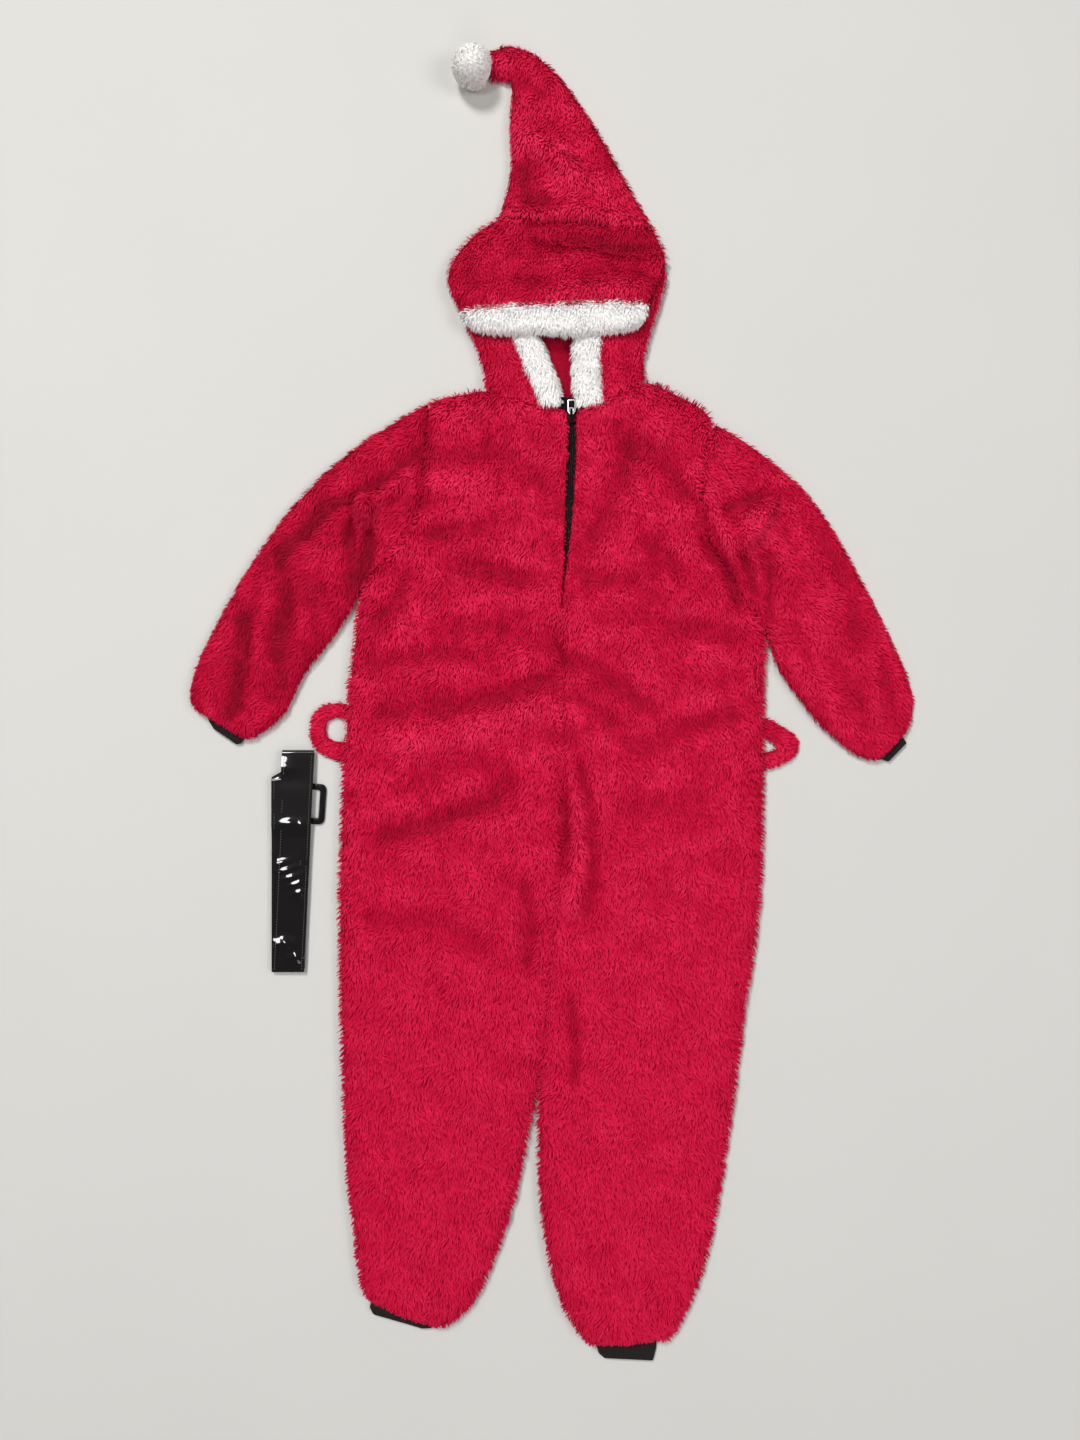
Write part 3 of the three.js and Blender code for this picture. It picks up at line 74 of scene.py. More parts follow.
# Creases that the front was laid with, in millimetres on the drawing: a ridge where height is above
# zero, else a hollow. At its width to either side, a crease is down to a third of its height.
CREASES = (
    # x1, y1, x2, y2, width, height
    (-212, 373, -338, 297, 11, -6),  # left sleeve, upper run
    (-338, 297, -405, 233, 12, -6),  # left sleeve, lower run
    (-224, 340, -326, 276, 11, 5),  # left sleeve, ridge between them
    (-407, 207, -416, 81, 14, -4),  # left sleeve, long hollow
    (-469, 125, -489, -13, 12, -5),  # left sleeve, wrist hollow
    (-283, 297, -280, 279, 13, 9),  # left underarm knot
    (-276, 255, -283, 200, 8, -7),  # left underarm crease
    (-306, 312, -306, 198, 9, -4),  # left underarm second
    (-86, 390, -8, 317, 16, -3),  # chest left
    (115, 382, 57, 247, 16, -3),  # chest right
    (323, 291, 288, 241, 14, 8),  # right knot
    (277, 302, 350, 317, 12, -6),  # right arc
    (282, 224, 309, 173, 8, -7),  # right pocket
    (233, 241, 279, 157, 9, -6),  # right diagonal
    (325, 218, 326, 139, 9, -5),  # right sleeve inner
    (-11, 36, -247, -10, 15, -5),  # waist left
    (-19, -2, -232, -48, 18, 3),  # waist left ridge
    (30, 63, 133, 5, 14, -4),  # waist right
    (-72, -131, -247, -200, 18, -4),  # hip left
    (21, -144, 16, -241, 9, -5),  # centre left
    (45, -101, 57, -306, 9, -4),  # centre right
    (33, -147, 30, -299, 10, 4),  # crotch ridge
    (-40, -283, -37, -390, 10, -4),  # thigh left
    (27, -451, 31, -565, 9, -4),  # inner leg
    (-49, 741, 133, 726, 10, 5),  # hat ridge
    (-27, 721, 87, 718, 9, -6),  # hat hollow
    (-49, 841, 57, 796, 14, 3),  # hat top
    (-49, 796, -7, 747, 14, -4),  # hat left
    (-11, 705, 72, 695, 13, -5),  # crown hollow
    (100, 686, 148, 695, 12, -4),  # crown right
    (11, 613, 133, 619, 14, 3),  # crown crease
    (-165, 378, -107, 381, 15, -3),  # chest left, high hollow
    (-178, 255, -113, 267, 14, -4),  # chest left, middle hollow
    (-152, 209, -49, 189, 14, -4),  # chest left, low hollow
    (-200, 325, -90, 318, 12, 2),  # chest left, ridge
    (-224, 183, -262, 125, 13, -4),  # left side, below the armpit
    (-191, 429, -197, 300, 8, -3),  # left armhole groove
    (119, 396, 191, 352, 17, -4),  # chest right, high hollow
    (153, 235, 191, 203, 14, -4),  # chest right, middle hollow
    (191, 332, 276, 183, 10, -3),  # right shoulder to armpit
    (205, 345, 262, 250, 12, 3),  # ridge beside it
    (60, 190, 150, 165, 16, -3),  # chest right, low hollow
    (150, 120, 262, 100, 15, -3),  # right side hollow
    (-140, 110, -30, 95, 18, -3),  # belly left
    (-262, 60, -150, 72, 15, -3),  # left side hollow
    (40, 5, 120, -60, 14, -3),  # below the waist, right
    (160, -60, 262, -25, 16, -3),  # right hip
    (-210, -120, -120, -90, 16, -2),  # left hip
    (120, -180, 230, -150, 20, -2),  # right thigh
    (-250, -330, -120, -360, 24, -2),  # left thigh
    (-8, 110, 22, 60, 8, -3),  # under the zip
    (-30, 760, -38, 830, 9, -4),  # hat, left fold
    (20, 800, 75, 770, 12, 2),  # hat, middle ridge
    (60, 660, 140, 652, 12, -2),  # crown, right hollow
    (-110, 640, -20, 650, 14, -2),  # crown, left hollow
    (405, 250, 470, 100, 14, -3),  # right sleeve, long hollow
    (500, 60, 510, -20, 12, -3),  # right wrist hollow
    (430, 60, 470, -30, 13, -2),  # right sleeve, inner hollow
    (-350, 150, -380, 30, 13, -2),  # left sleeve, inner hollow
    (-331, 344, -410, 234, 11, -2),  # left sleeve, long fold from the shoulder
    (-272, 262, -303, 178, 8, -5),  # under the knot at the left armpit
    (-290, 300, -273, 279, 11, 4),  # the knot
    (-301, 306, -310, 246, 6, -4),  # beside the knot
    (-460, 125, -478, 0, 9, -4),  # left wrist, outer fold
    (-405, 165, -421, 22, 12, -3),  # left wrist, middle fold
    (-60, 945, -15, 922, 8, -3),  # hat, below the tip
    (-50, 866, 25, 808, 13, 3),  # hat, slanting ridge
    (-47, 820, -40, 790, 8, -2),  # hat, left edge
    (-42, 768, 12, 752, 10, -3),  # hat, hollow over the gather
    (90, 706, 125, 690, 15, -2),  # crown, right end
    (-12, 720, 90, 717, 12, 4),  # crown, fills its long hollow a little
)

# Rib cuffs, in rows from the seam to the free end, in millimetres on the drawing.
CUFFS = {
    # outer x, outer y, inner x, inner y
    "wrist_cuff_left": (
        (-527.6, -19.0, -470.1, -56.7),
        (-523.6, -28.9, -474.2, -62.8),
        (-517.6, -38.0, -481.1, -64.0),
    ),
    "wrist_cuff_right": (
        (534.5, -51.1, 500.3, -85.3),
        (541.3, -61.3, 513.0, -90.4),
    ),
    "ankle_cuff_left": (
        (-275.5, -911.6, -176.2, -951.6),
        (-278.5, -923.4, -183.9, -954.7),
        (-273.6, -932.5, -195.3, -955.0),
    ),
    "ankle_cuff_right": (
        (160.3, -970.7, 66.5, -978.0),
        (158.8, -987.2, 70.7, -992.6),
        (154.3, -1003.2, 78.3, -999.4),
    ),
}
CUFF_HEIGHT = 7.4  # of the flattened tube, in millimetres, as the next four are
CUFF_WALL = 1.5
CUFF_LIFT = 0.3  # off the floor
RIB_PITCH = 2.8
RIB_RELIEF = 0.6
POINTS_PER_RIB = 6
STEPS_PER_ROW = 4

# Bulges where the strap was folded and pressed, in millimetres on the drawing. Ripples say how many
# small waves run across one.
BULGES = (
    # x, y, half width, half length, turn (degrees), height, ripples
    (-398, -184, 13, 6, 3, 1.5, 0),
    (-381, -187, 4, 6, 0, 1.2, 0),
    (-413, -245, 15, 5, 17, 1.5, 0),
    (-405, -255.5, 16, 5, 17, 1.8, 0),
    (-397, -266, 16, 5, 17, 1.8, 0),
    (-390, -277, 15, 5.5, 17, 2.0, 0),
    (-385, -290, 14, 6.5, 17, 2.2, 0),
    (-407, -368, 17, 9, -3, 3.0, 3),
    (-391, -389, 11, 9, -6, 3.1, 2),
    (-428, -247, 2.5, 5, 0, 0.7, 0),
    (-428, -262, 2.5, 5, 0, 0.7, 0),
    (-427, -283, 2.5, 6, 0, 0.7, 0),
    (-384, -270, 2.5, 5, 0, 0.7, 0),
    (-384, -300, 2.5, 6, 0, 0.7, 0),
    (-404, -98, 40, 12, 0, 3.0, 0),
    (-404, -82, 40, 12, 0, 2.2, 0),
)

# Each sheet of plush. The nap is the way that its pile lies, in degrees from +X, and the pile is the
# length of a lock as a share of the full length.
PLUSH = {
    # subdivision levels, nap, pile, flat width and length (m), area (m2)
    "front_left": (2, 265, 1.0, (0.35, 1.45), 0.40),
    "front_right": (2, 275, 1.0, (0.35, 1.49), 0.40),
    "back_left": (1, 265, 0.9, (0.35, 1.45), 0.40),
    "back_right": (1, 275, 0.9, (0.35, 1.49), 0.40),
    "sleeve_left": (2, 238, 1.0, (0.40, 0.52), 0.165),
    "sleeve_right": (2, 300, 1.0, (0.40, 0.52), 0.165),
    "hood_back": (2, 270, 0.4, (0.34, 0.295), 0.078),
    "hood_left": (2, 275, 0.8, (0.113, 0.135), 0.0083),
    "hood_right": (2, 262, 0.8, (0.10, 0.205), 0.0102),
    "hood_crown": (2, 268, 0.95, (0.335, 0.15), 0.0425),
    "hat_cone": (2, 260, 0.92, (0.50, 0.29), 0.08),
    "belt_loop_left": (2, 200, 0.7, (0.026, 0.156), 0.004),
    "belt_loop_right": (2, 330, 0.7, (0.026, 0.14), 0.0036),
}

# Each white fur strip, in the same columns.
FUR = {
    "trim_brow": (2, 270, 1.0, (0.05, 0.29), 0.013),
    "trim_left": (2, 282, 1.0, (0.047, 0.132), 0.006),
    "trim_right": (2, 262, 1.0, (0.047, 0.132), 0.006),
}

# Painted light and shade by sheet: how much each sheet's tone differs, darker or paler as the light falls on
# its brushed nap, with the deepest painted shade inside the hood.
PAINTED_SHEET_SHADING = {
    "hood_back": -0.34, "sleeve_left": -0.1, "hood_crown": -0.05, "hat_cone": 0.05,
    "front_left": 0.02, "front_right": 0.02,
}

FRONT_LAYER = (
    "front_left", "front_right", "sleeve_left", "sleeve_right",
    "hood_left", "hood_right", "hood_crown", "hat_cone",
)

FRONT_REST = 7.3 * MM  # the front layer's inside, where it rests on the back layer
LEG_CALM = -0.25  # below here, in metres, the legs were smoothed out
PILE_LEAN = 32  # degrees that a lock stands off the cloth at its root
SEAM_REACH = 13 * MM  # how far from a seam the pile is pressed out of its nap
ZIP_REACH = 14 * MM
CUFF_REACH = 15 * MM
FOLD_SHADE = 13 * MM  # the height of a crease that would turn its pile's tone from dark to pale: painted shade in its hollow, painted light on its ridge
PILE_SEED = 20

COIL_TOP = 424  # just under the slider, on the drawing

STRAP_TOP = 8.4 * MM  # above here a point belongs to the strap's uppermost run

# The pompom in millimetres: its centre on the drawing, its core's half widths, and its locks' spacing.
POMPOM_CENTRE = (-119.6, 957, 27.5)
POMPOM_CORE = (27.5, 28, 27)
POMPOM_SPACING = 1.3
POMPOM_SEED = 71

# Large soft lights, in metres. Each one's power is a share of the key light's.
LIGHTS = (
    # name, place, size, share
    ("key", (-2.6, 5.2, 7.0), 2.4, 1.0),
    ("window", (-1.5, 0.25, 3.25), 0.7, 0.05),
    ("fill_right", (5.4, -0.2, 5.6), 4.0, 0.36),
    ("fill_low", (0.4, -5.6, 5.2), 4.0, 0.17),
)
DAYLIGHT_COLOUR = (0.96, 0.98, 1.0, 1.0)
CAMERA_PLACE = (-18.3, -26.8)  # on the drawing, in millimetres
GROUND_HALF = 6.0  # metres


# ---------------------------------------------------------------- sizes and colours

def from_hex(code):
    """An sRGB hex colour as linear red, green and blue."""
    parts = [int(code[i:i + 2], 16) / 255 for i in (1, 3, 5)]
    return tuple(c / 12.92 if c <= 0.04045 else ((c + 0.055) / 1.055) ** 2.4 for c in parts)


def length_property(name, description, default):
    """A length in metres."""
    return FloatProperty(name=name, description=description, default=default, unit="LENGTH", precision=4)


def colour_property(name, description, code):
    """A colour that starts from an sRGB hex code."""
    return FloatVectorProperty(
        name=name, description=description, default=from_hex(code), subtype="COLOR", size=3, min=0, max=1)


class PileSizes(PropertyGroup):
    """Sizes of the plush pile and the white fur."""

    lock_length: length_property("Pile Lock", "Length of one lock of the red pile", 0.0095)
    lock_width: length_property("Lock Width", "Width of a lock at its root", 0.0021)
    lock_spacing: length_property("Lock Spacing", "Distance between the roots of the red pile", 0.00255)
    fur_length: length_property("Fur Lock", "Length of one lock of the white fur", 0.011)
    fur_width: length_property("Fur Width", "Width of a white lock at its root", 0.0024)
    fur_spacing: length_property("Fur Spacing", "Distance between the roots of the white fur", 0.0018)
    under_pile: FloatProperty(
        name="Under Pile", description="Share of a wall that the pile takes up above the knit",
        default=0.3, min=0.0, max=0.6)


class BeltSizes(PropertyGroup):
    """Sizes of the belt's stitching and crinkles."""

    stitch_pitch: length_property("Stitch Pitch", "Length of one stitch with its gap", 0.0042)
    stitch_inset: length_property("Stitch Inset", "Distance from the strap's edge to the stitches", 0.0042)
    crinkle: length_property("Crinkle", "Height of the strap's soft crinkles", 0.0011)


class ZipSizes(PropertyGroup):
    """Sizes of the coil zip."""

    coil_pitch: length_property("Coil Pitch", "Distance between the turns of the coil", 0.0017)
    coil_width: length_property("Coil Width", "Width of one side of the coil", 0.0032)


class SuitColours(PropertyGroup):
    """Colours of the jumpsuit and belt."""

    pile_tip: colour_property("Pile Tip", "Red plush at the tips of its pile", "#F11247")
    # Painted light: the paler, pinker colour that the pile's tips are mixed towards where its tone is high
    pile_painted_light: colour_property("Pile Light", "Red plush where its pile catches the light", "#F83C6A")
    # Painted shade: the roots are darker than the tips, as shade deep in the pile; the red knit ground takes
    # this colour too
    pile_root_shade: colour_property("Pile Root", "Red plush at the roots of its pile", "#BC0C31")
    lining: colour_property("Lining", "The knit back of the plush, seen inside the hood", "#9C0A2A")
    fur_tip: colour_property("Fur Tip", "White fur at its tips", "#FFFDFB")
    # Painted shade: the white fur's roots are a little darker, as shade deep in the fur; the white knit
    # ground mottles towards it
    fur_root_shade: colour_property("Fur Root", "White fur at its roots", "#F6F2EE")
    rib: colour_property("Rib Knit", "Black rib knit of the cuffs", "#171513")
    tape: colour_property("Zip Tape", "Woven tape of the zip", "#100D0D")
    patent: colour_property("Patent", "Black patent of the strap and buckle", "#100D0D")
    # Painted highlight: a near-white metal round the edges of the zip pull
    painted_highlight: colour_property("Worn Edges", "Bare zinc where the enamel has worn off the edges", "#F2F0EE")
    # Thread and painted glint: a grey thread, paler so that its stitches show as glints; partly its own
    # colour, partly a painted highlight
    thread_and_glint: colour_property("Thread", "Sewing thread of the strap", "#66615F")
    ground: colour_property("Ground", "The pale surface under the suit", "#C9C7C3")


class StageSizes(PropertyGroup):
    """Camera and lights."""

    height: length_property("Camera Height", "Height of the camera above the ground", 1.656)
    lens: FloatProperty(
        name="Lens", description="Focal length in millimetres", default=27.04, min=10, max=200)
    daylight: FloatProperty(
        name="Daylight", description="Strength of the light from all round", default=0.13, min=0)
    key: FloatProperty(name="Key", description="Power of the large soft light in watts", default=610, min=0)


# ---------------------------------------------------------------- nodes

def fill(node, sockets):
    """Gives each of a node's sockets a value, or a link from another node's output."""
    for socket, value in sockets.items():
        if isinstance(value, bpy.types.NodeSocket):
            node.id_data.links.new(value, node.inputs[socket])
        else:
            node.inputs[socket].default_value = value


def add(tree, kind, sockets=None, **settings):
    """Adds a shader node with its settings and fills its sockets."""
    node = tree.nodes.new(f"ShaderNode{kind}")
    for key, value in settings.items():
        setattr(node, key, value)
    fill(node, sockets or {})
    return node


def blank_material(name):
    """A material that has only its shader yet, with its tree and that shader."""
    material = bpy.data.materials.new(name)
    material.use_nodes = True
    tree = material.node_tree
    tree.nodes.clear()
    shader = add(tree, "BsdfPrincipled")
    add(tree, "OutputMaterial", {"Surface": shader.outputs["BSDF"]})
    return material, tree, shader


def rgba(colour, times=1.0, plus=0.0):
    """A colour with its alpha, made paler or darker if asked."""
    return (*(c * times + plus for c in colour), 1.0)


# ---------------------------------------------------------------- materials

def pile_material(name, tip, root, light, sheen, tone_low, tone_high):
    """Acrylic pile, cut and brushed: painted darker at its roots, as shade deep in the pile, and painted
    paler and pinker, as light, where its tone is high.
    """
    material, tree, shader = blank_material(name)
    height = add(tree, "Attribute", attribute_name="pile_height").outputs["Fac"]
    tone = add(tree, "Attribute", attribute_name="pile_tone_and_shade").outputs["Fac"]
    pale = add(tree, "MapRange", {"Value": tone, "From Min": 0.45, "From Max": 1.0})
    # Painted light: the tips turn towards the light colour where the tone is high
    tips = add(tree, "Mix", {0: pale.outputs["Result"], 6: rgba(tip), 7: rgba(light)}, data_type="RGBA")
    # Painted shade: each lock runs from the darker root colour at its root to its tip colour
    along = add(tree, "Mix", {0: height, 6: rgba(root), 7: tips.outputs[2]}, data_type="RGBA")
    # The tone, with its painted shade and light, darkens or lightens each lock as a whole
    shade = add(tree, "MapRange", {"Value": tone, "To Min": tone_low, "To Max": tone_high}).outputs["Result"]
    grey = add(tree, "CombineColor", {"Red": shade, "Green": shade, "Blue": shade})
    tinted = add(
        tree, "Mix", {0: 1.0, 6: along.outputs[2], 7: grey.outputs["Color"]},
        data_type="RGBA", blend_type="MULTIPLY")
    fill(shader, {
        "Base Color": tinted.outputs[2], "Roughness": 0.62, "Specular IOR Level": 0.05,
        "Sheen Weight": sheen, "Sheen Roughness": 0.45, "Sheen Tint": rgba(light),
    })
    return material


def knit_material(name, colour, deep, loop, depth):
    """The knit ground that the pile grows from: matt loops, mottled where it was brushed.

    The real loops are under a millimetre, and are drawn coarser so that they show.
    """
    material, tree, shader = blank_material(name)
    place = add(tree, "TexCoord").outputs["Object"]
    loops = add(
        tree, "TexNoise",
        {"Vector": place, "Scale": 1 / (loop * MM), "Detail": 4.0, "Roughness": 0.6}).outputs["Fac"]
    patches = add(tree, "TexNoise", {"Vector": place, "Scale": 1 / (45.5 * MM), "Detail": 2.0})
    mottle = add(tree, "Mix", {0: patches.outputs["Fac"], 6: rgba(deep), 7: rgba(colour)}, data_type="RGBA")
    fine = add(tree, "Mix", {0: loops, 6: rgba(deep), 7: mottle.outputs[2]}, data_type="RGBA")
    bump = add(tree, "Bump", {"Height": loops, "Strength": 0.7, "Distance": depth * MM})
    fill(shader, {
        "Base Color": fine.outputs[2], "Normal": bump.outputs["Normal"],
        "Roughness": 0.9, "Specular IOR Level": 0.05,
    })
    return material


def rib_material(name, colour):
    """Acrylic rib knit, dyed black: matt, with loops of 1.1 mm that lift a little off the ribs."""
    material, tree, shader = blank_material(name)
    place = add(tree, "TexCoord").outputs["Object"]
    loops = add(tree, "TexNoise", {"Vector": place, "Scale": 1 / (1.11 * MM), "Detail": 3.0}).outputs["Fac"]
    fine = add(tree, "Mix", {0: loops, 6: rgba(colour), 7: rgba(colour, 1.8, 0.004)}, data_type="RGBA")
    bump = add(tree, "Bump", {"Height": loops, "Strength": 0.6, "Distance": 0.4 * MM})
    fill(shader, {
        "Base Color": fine.outputs[2], "Normal": bump.outputs["Normal"],
        "Roughness": 0.9, "Specular IOR Level": 0.15,
    })
    return material


def woven_material(name, colour):
    """Polyester zip tape in a close plain weave, with a faint sheen.

    Its threads are about 0.5 mm apart, and are drawn 1.43 mm apart so that they show. A wave texture
    repeats every 2 pi / 20 of its unit.
    """
    material, tree, shader = blank_material(name)
    place = add(tree, "TexCoord").outputs["Object"]
    threads = {"Vector": place, "Scale": math.pi / 10 / (1.428 * MM), "Distortion": 0.6}
    weft = add(tree, "TexWave", threads, bands_direction="Y")
    warp = add(tree, "TexWave", threads, bands_direction="X")
    crossed = add(tree, "Math", {0: weft.outputs["Fac"], 1: warp.outputs["Fac"]}, operation="MULTIPLY")
    weave = crossed.outputs[0]
    fine = add(tree, "Mix", {0: weave, 6: rgba(colour), 7: rgba(colour, 1.8, 0.004)}, data_type="RGBA")
    bump = add(tree, "Bump", {"Height": weave, "Strength": 0.5, "Distance": 0.3 * MM})
    fill(shader, {
        "Base Color": fine.outputs[2], "Normal": bump.outputs["Normal"],
        "Roughness": 0.8, "Specular IOR Level": 0.12,
    })
    return material


def enamel_material(name, colour, roughness, coat=0.5):
    """Stove enamel over zinc, or moulded plastic: smooth and glossy, with an orange peel of 1.4 mm."""
    material, tree, shader = blank_material(name)
    place = add(tree, "TexCoord").outputs["Object"]
    peel = add(tree, "TexNoise", {"Vector": place, "Scale": 1 / (1.43 * MM), "Detail": 1.0})
    bump = add(tree, "Bump", {"Height": peel.outputs["Fac"], "Strength": 0.12, "Distance": 0.2 * MM})
    fill(shader, {
        "Base Color": rgba(colour), "Normal": bump.outputs["Normal"], "Roughness": roughness,
        "Specular IOR Level": 0.3, "Coat Weight": coat, "Coat Roughness": 0.08,
    })
    return material


def painted_highlight_material(name, colour):
    """A pale metal, near white, on the pull's sloped edges: a painted highlight, brightest on the edges that
    face the light.
    """
    material, _, shader = blank_material(name)
    fill(shader, {"Base Color": rgba(colour), "Metallic": 0.7, "Roughness": 0.36})
    return material


def patent_material(name, colour):
    """Patent: a soft black backing under a thick clear skin that has crinkled where it was folded.

    The skin has swells of 18 mm, creases 10 mm apart and a grain of 2.4 mm.
    """
    material, tree, shader = blank_material(name)
    place = add(tree, "TexCoord").outputs["Object"]
    swells = add(
        tree, "TexNoise", {"Vector": place, "Scale": 1 / (18.2 * MM), "Detail": 1.0, "Roughness": 0.5})
    creases = add(
        tree, "TexVoronoi", {"Vector": place, "Scale": 1 / (10.53 * MM)}, feature="DISTANCE_TO_EDGE")
    grain = add(tree, "TexNoise", {"Vector": place, "Scale": 1 / (2.38 * MM), "Detail": 2.0})
    skin = add(tree, "Bump", {"Height": swells.outputs["Fac"], "Strength": 0.12, "Distance": 1.2 * MM})
    creased = add(tree, "Bump", {
        "Height": creases.outputs["Distance"], "Normal": skin.outputs["Normal"],
        "Strength": 0.05, "Distance": 0.5 * MM})
    grained = add(tree, "Bump", {
        "Height": grain.outputs["Fac"], "Normal": creased.outputs["Normal"],
        "Strength": 0.08, "Distance": 0.3 * MM})
    fill(shader, {
        "Base Color": rgba(colour), "Normal": grained.outputs["Normal"],
        "Coat Normal": skin.outputs["Normal"], "Roughness": 0.3, "Specular IOR Level": 0.05,
        "Coat Weight": 1.0, "Coat Roughness": 0.05,
    })
    return material


def ground_material(name, colour):
    """A painted board, pale and matt, very slightly uneven in patches of a third of a metre."""
    material, tree, shader = blank_material(name)
    place = add(tree, "TexCoord").outputs["Object"]
    patches = add(tree, "TexNoise", {"Vector": place, "Scale": 1 / (333.3 * MM), "Detail": 2.0})
    tone = add(
        tree, "Mix", {0: patches.outputs["Fac"], 6: rgba(colour, 0.965), 7: rgba(colour)}, data_type="RGBA")
    fill(shader, {"Base Color": tone.outputs[2], "Roughness": 0.75, "Specular IOR Level": 0.2})
    return material


def material_of(key):
    """The suit's materials by key, each made the first time that it is asked for."""
    if key in bpy.data.materials:
        return bpy.data.materials[key]
    colours = bpy.context.scene.suit_colours
    red_deep = tuple(c * 0.6 for c in colours.pile_root_shade)
    makers = {
        "plush_acrylic_red": lambda: pile_material(
            key, colours.pile_tip, colours.pile_root_shade, colours.pile_painted_light, 0.2, 0.36, 1.24),
        "fur_acrylic_white": lambda: pile_material(
            key, colours.fur_tip, colours.fur_root_shade, colours.fur_tip, 0.1, 0.8, 1.05),
        "knit_ground_red": lambda: knit_material(key, colours.pile_root_shade, red_deep, 1.6, 1.2),
        "knit_inside_red": lambda: knit_material(key, colours.lining, red_deep, 2.2, 0.5),
        "knit_ground_white": lambda: knit_material(key, colours.fur_tip, colours.fur_root_shade, 1.6, 1.0),
        "knit_rib_black": lambda: rib_material(key, colours.rib),
        "woven_polyester": lambda: woven_material(key, colours.tape),
        "nylon_coil": lambda: enamel_material(key, colours.tape, 0.3, 0.2),
        "enamelled_zinc": lambda: enamel_material(key, colours.patent, 0.14),
        "painted_highlight_metal": lambda: painted_highlight_material(key, colours.painted_highlight),
        "moulded_acetal": lambda: enamel_material(key, colours.patent, 0.12),
        "patent_vinyl": lambda: patent_material(key, colours.patent),
        "sewing_polyester": lambda: enamel_material(key, colours.thread_and_glint, 0.2),
        "painted_board": lambda: ground_material(key, colours.ground),
    }
    return makers[key]()


# ---------------------------------------------------------------- meshes

def add_piece(name, mesh, material):
    """An object for a mesh, in one material."""
    piece = bpy.data.objects.new(name, mesh)
    bpy.context.scene.collection.objects.link(piece)
    mesh.materials.clear()
    mesh.materials.append(material_of(material))
    return piece


def from_bmesh(name, bm, material):
    """A smooth piece from a finished bmesh, which is freed."""
    mesh = bpy.data.meshes.new(name)
    bm.to_mesh(mesh)
    bm.free()
    mesh.polygons.foreach_set("use_smooth", [True] * len(mesh.polygons))
    return add_piece(name, mesh, material)


def dress(piece, node=None, body=BODY):
    """Every piece rides with a body, and may stand for a node, whose solid is hidden."""
    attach(piece, body)
    if node:
        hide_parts(node)


def modified(piece, kind, **settings):
    """Adds a modifier with its settings and makes it part of the piece's mesh."""
    modifier = piece.modifiers.new(kind, kind)
    for key, value in settings.items():
        setattr(modifier, key, value)
    graph = bpy.context.evaluated_depsgraph_get()
    mesh = bpy.data.meshes.new_from_object(piece.evaluated_get(graph))
    old = piece.data
    piece.modifiers.clear()
    piece.data = mesh
    bpy.data.meshes.remove(old)
    mesh.name = piece.name


def solid_copy(name, node, material):
    """A copy of a node's solid with its loose triangles joined again into faces of four sides."""
    bm = bmesh.new()
    bm.from_mesh(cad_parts[node].data)
    bmesh.ops.remove_doubles(bm, verts=bm.verts, dist=0.004 * MM)
    bmesh.ops.join_triangles(
        bm, faces=bm.faces, angle_face_threshold=math.radians(35), angle_shape_threshold=math.radians(100))
    return from_bmesh(name, bm, material)


def add_bead(bm, tree, x, y, size, lift):
    """Sets one oval bead of 20 faces on the surface below a place, if there is one."""
    hit = tree.ray_cast(Vector((x, y, 50 * MM)), Vector((0, 0, -1)), 60 * MM)
    if hit[0] is None:
        return
    made = bmesh.ops.create_icosphere(bm, subdivisions=1, radius=1.0)["verts"]
    bmesh.ops.scale(bm, verts=made, vec=Vector(size))
    bmesh.ops.translate(bm, verts=made, vec=Vector((x, y, hit[0].z + lift)))


def points_of(mesh):
    points = np.empty(len(mesh.vertices) * 3)
    mesh.vertices.foreach_get("co", points)
    return points.reshape(-1, 3)


def normals_of(mesh):
    normals = np.empty(len(mesh.vertices) * 3)
    mesh.vertex_normals.foreach_get("vector", normals)
    return normals.reshape(-1, 3)


def set_points(mesh, points):
    mesh.vertices.foreach_set("co", points.ravel())
    mesh.update()


def unit(rows):
    """Each row at a length of one."""
    return rows / np.maximum(np.linalg.norm(rows, axis=1), 1e-9)[:, None]


def along_cloth(ways, normals):
    """The part of each way that lies along the cloth, at a length of one."""
    return unit(ways - (ways * normals).sum(axis=1)[:, None] * normals)


def surface_tree(pieces):
    """The faces of some pieces, ready to be hit by rays and searched."""
    points, faces, count = [], [], 0
    for piece in pieces:
        own = points_of(piece.data)
        points.extend(map(tuple, own))
        faces.extend([[v + count for v in face.vertices] for face in piece.data.polygons])
        count += len(own)
    return BVHTree.FromPolygons(points, faces)


def wall_under(tree, point):
    """How thick the wall is straight below a point on its upper side."""
    start = Vector(point) - Vector((0, 0, 0.2 * MM))
    hit = tree.ray_cast(start, Vector((0, 0, -1)), 30 * MM)
    return hit[3] + 0.2 * MM if hit[0] else 2 * MM


# ---------------------------------------------------------------- the lie of the cloth

def on_drawing(points):
    """The points' places on the drawing, in millimetres."""
    return ((points[:, :2] - DRAWN) / MM).T


def creases_at(points):
    """The height of all creases at each point, in metres."""
    x, y = on_drawing(points)
    height = np.zeros(len(points))
    for x1, y1, x2, y2, width, rise in CREASES:
        dx, dy = x2 - x1, y2 - y1
        length = math.hypot(dx, dy)
        along = ((x - x1) * dx + (y - y1) * dy) / length
        across = ((x - x1) * dy - (y - y1) * dx) / length
        bowed = across + 0.05 * length * np.sin(np.pi * np.clip(along / length, 0, 1))
        past = np.maximum(np.maximum(-along, along - length), 0)
        height += rise * np.exp(-((bowed / width) ** 2) - (past / (1.6 * width)) ** 2)
    return height * MM


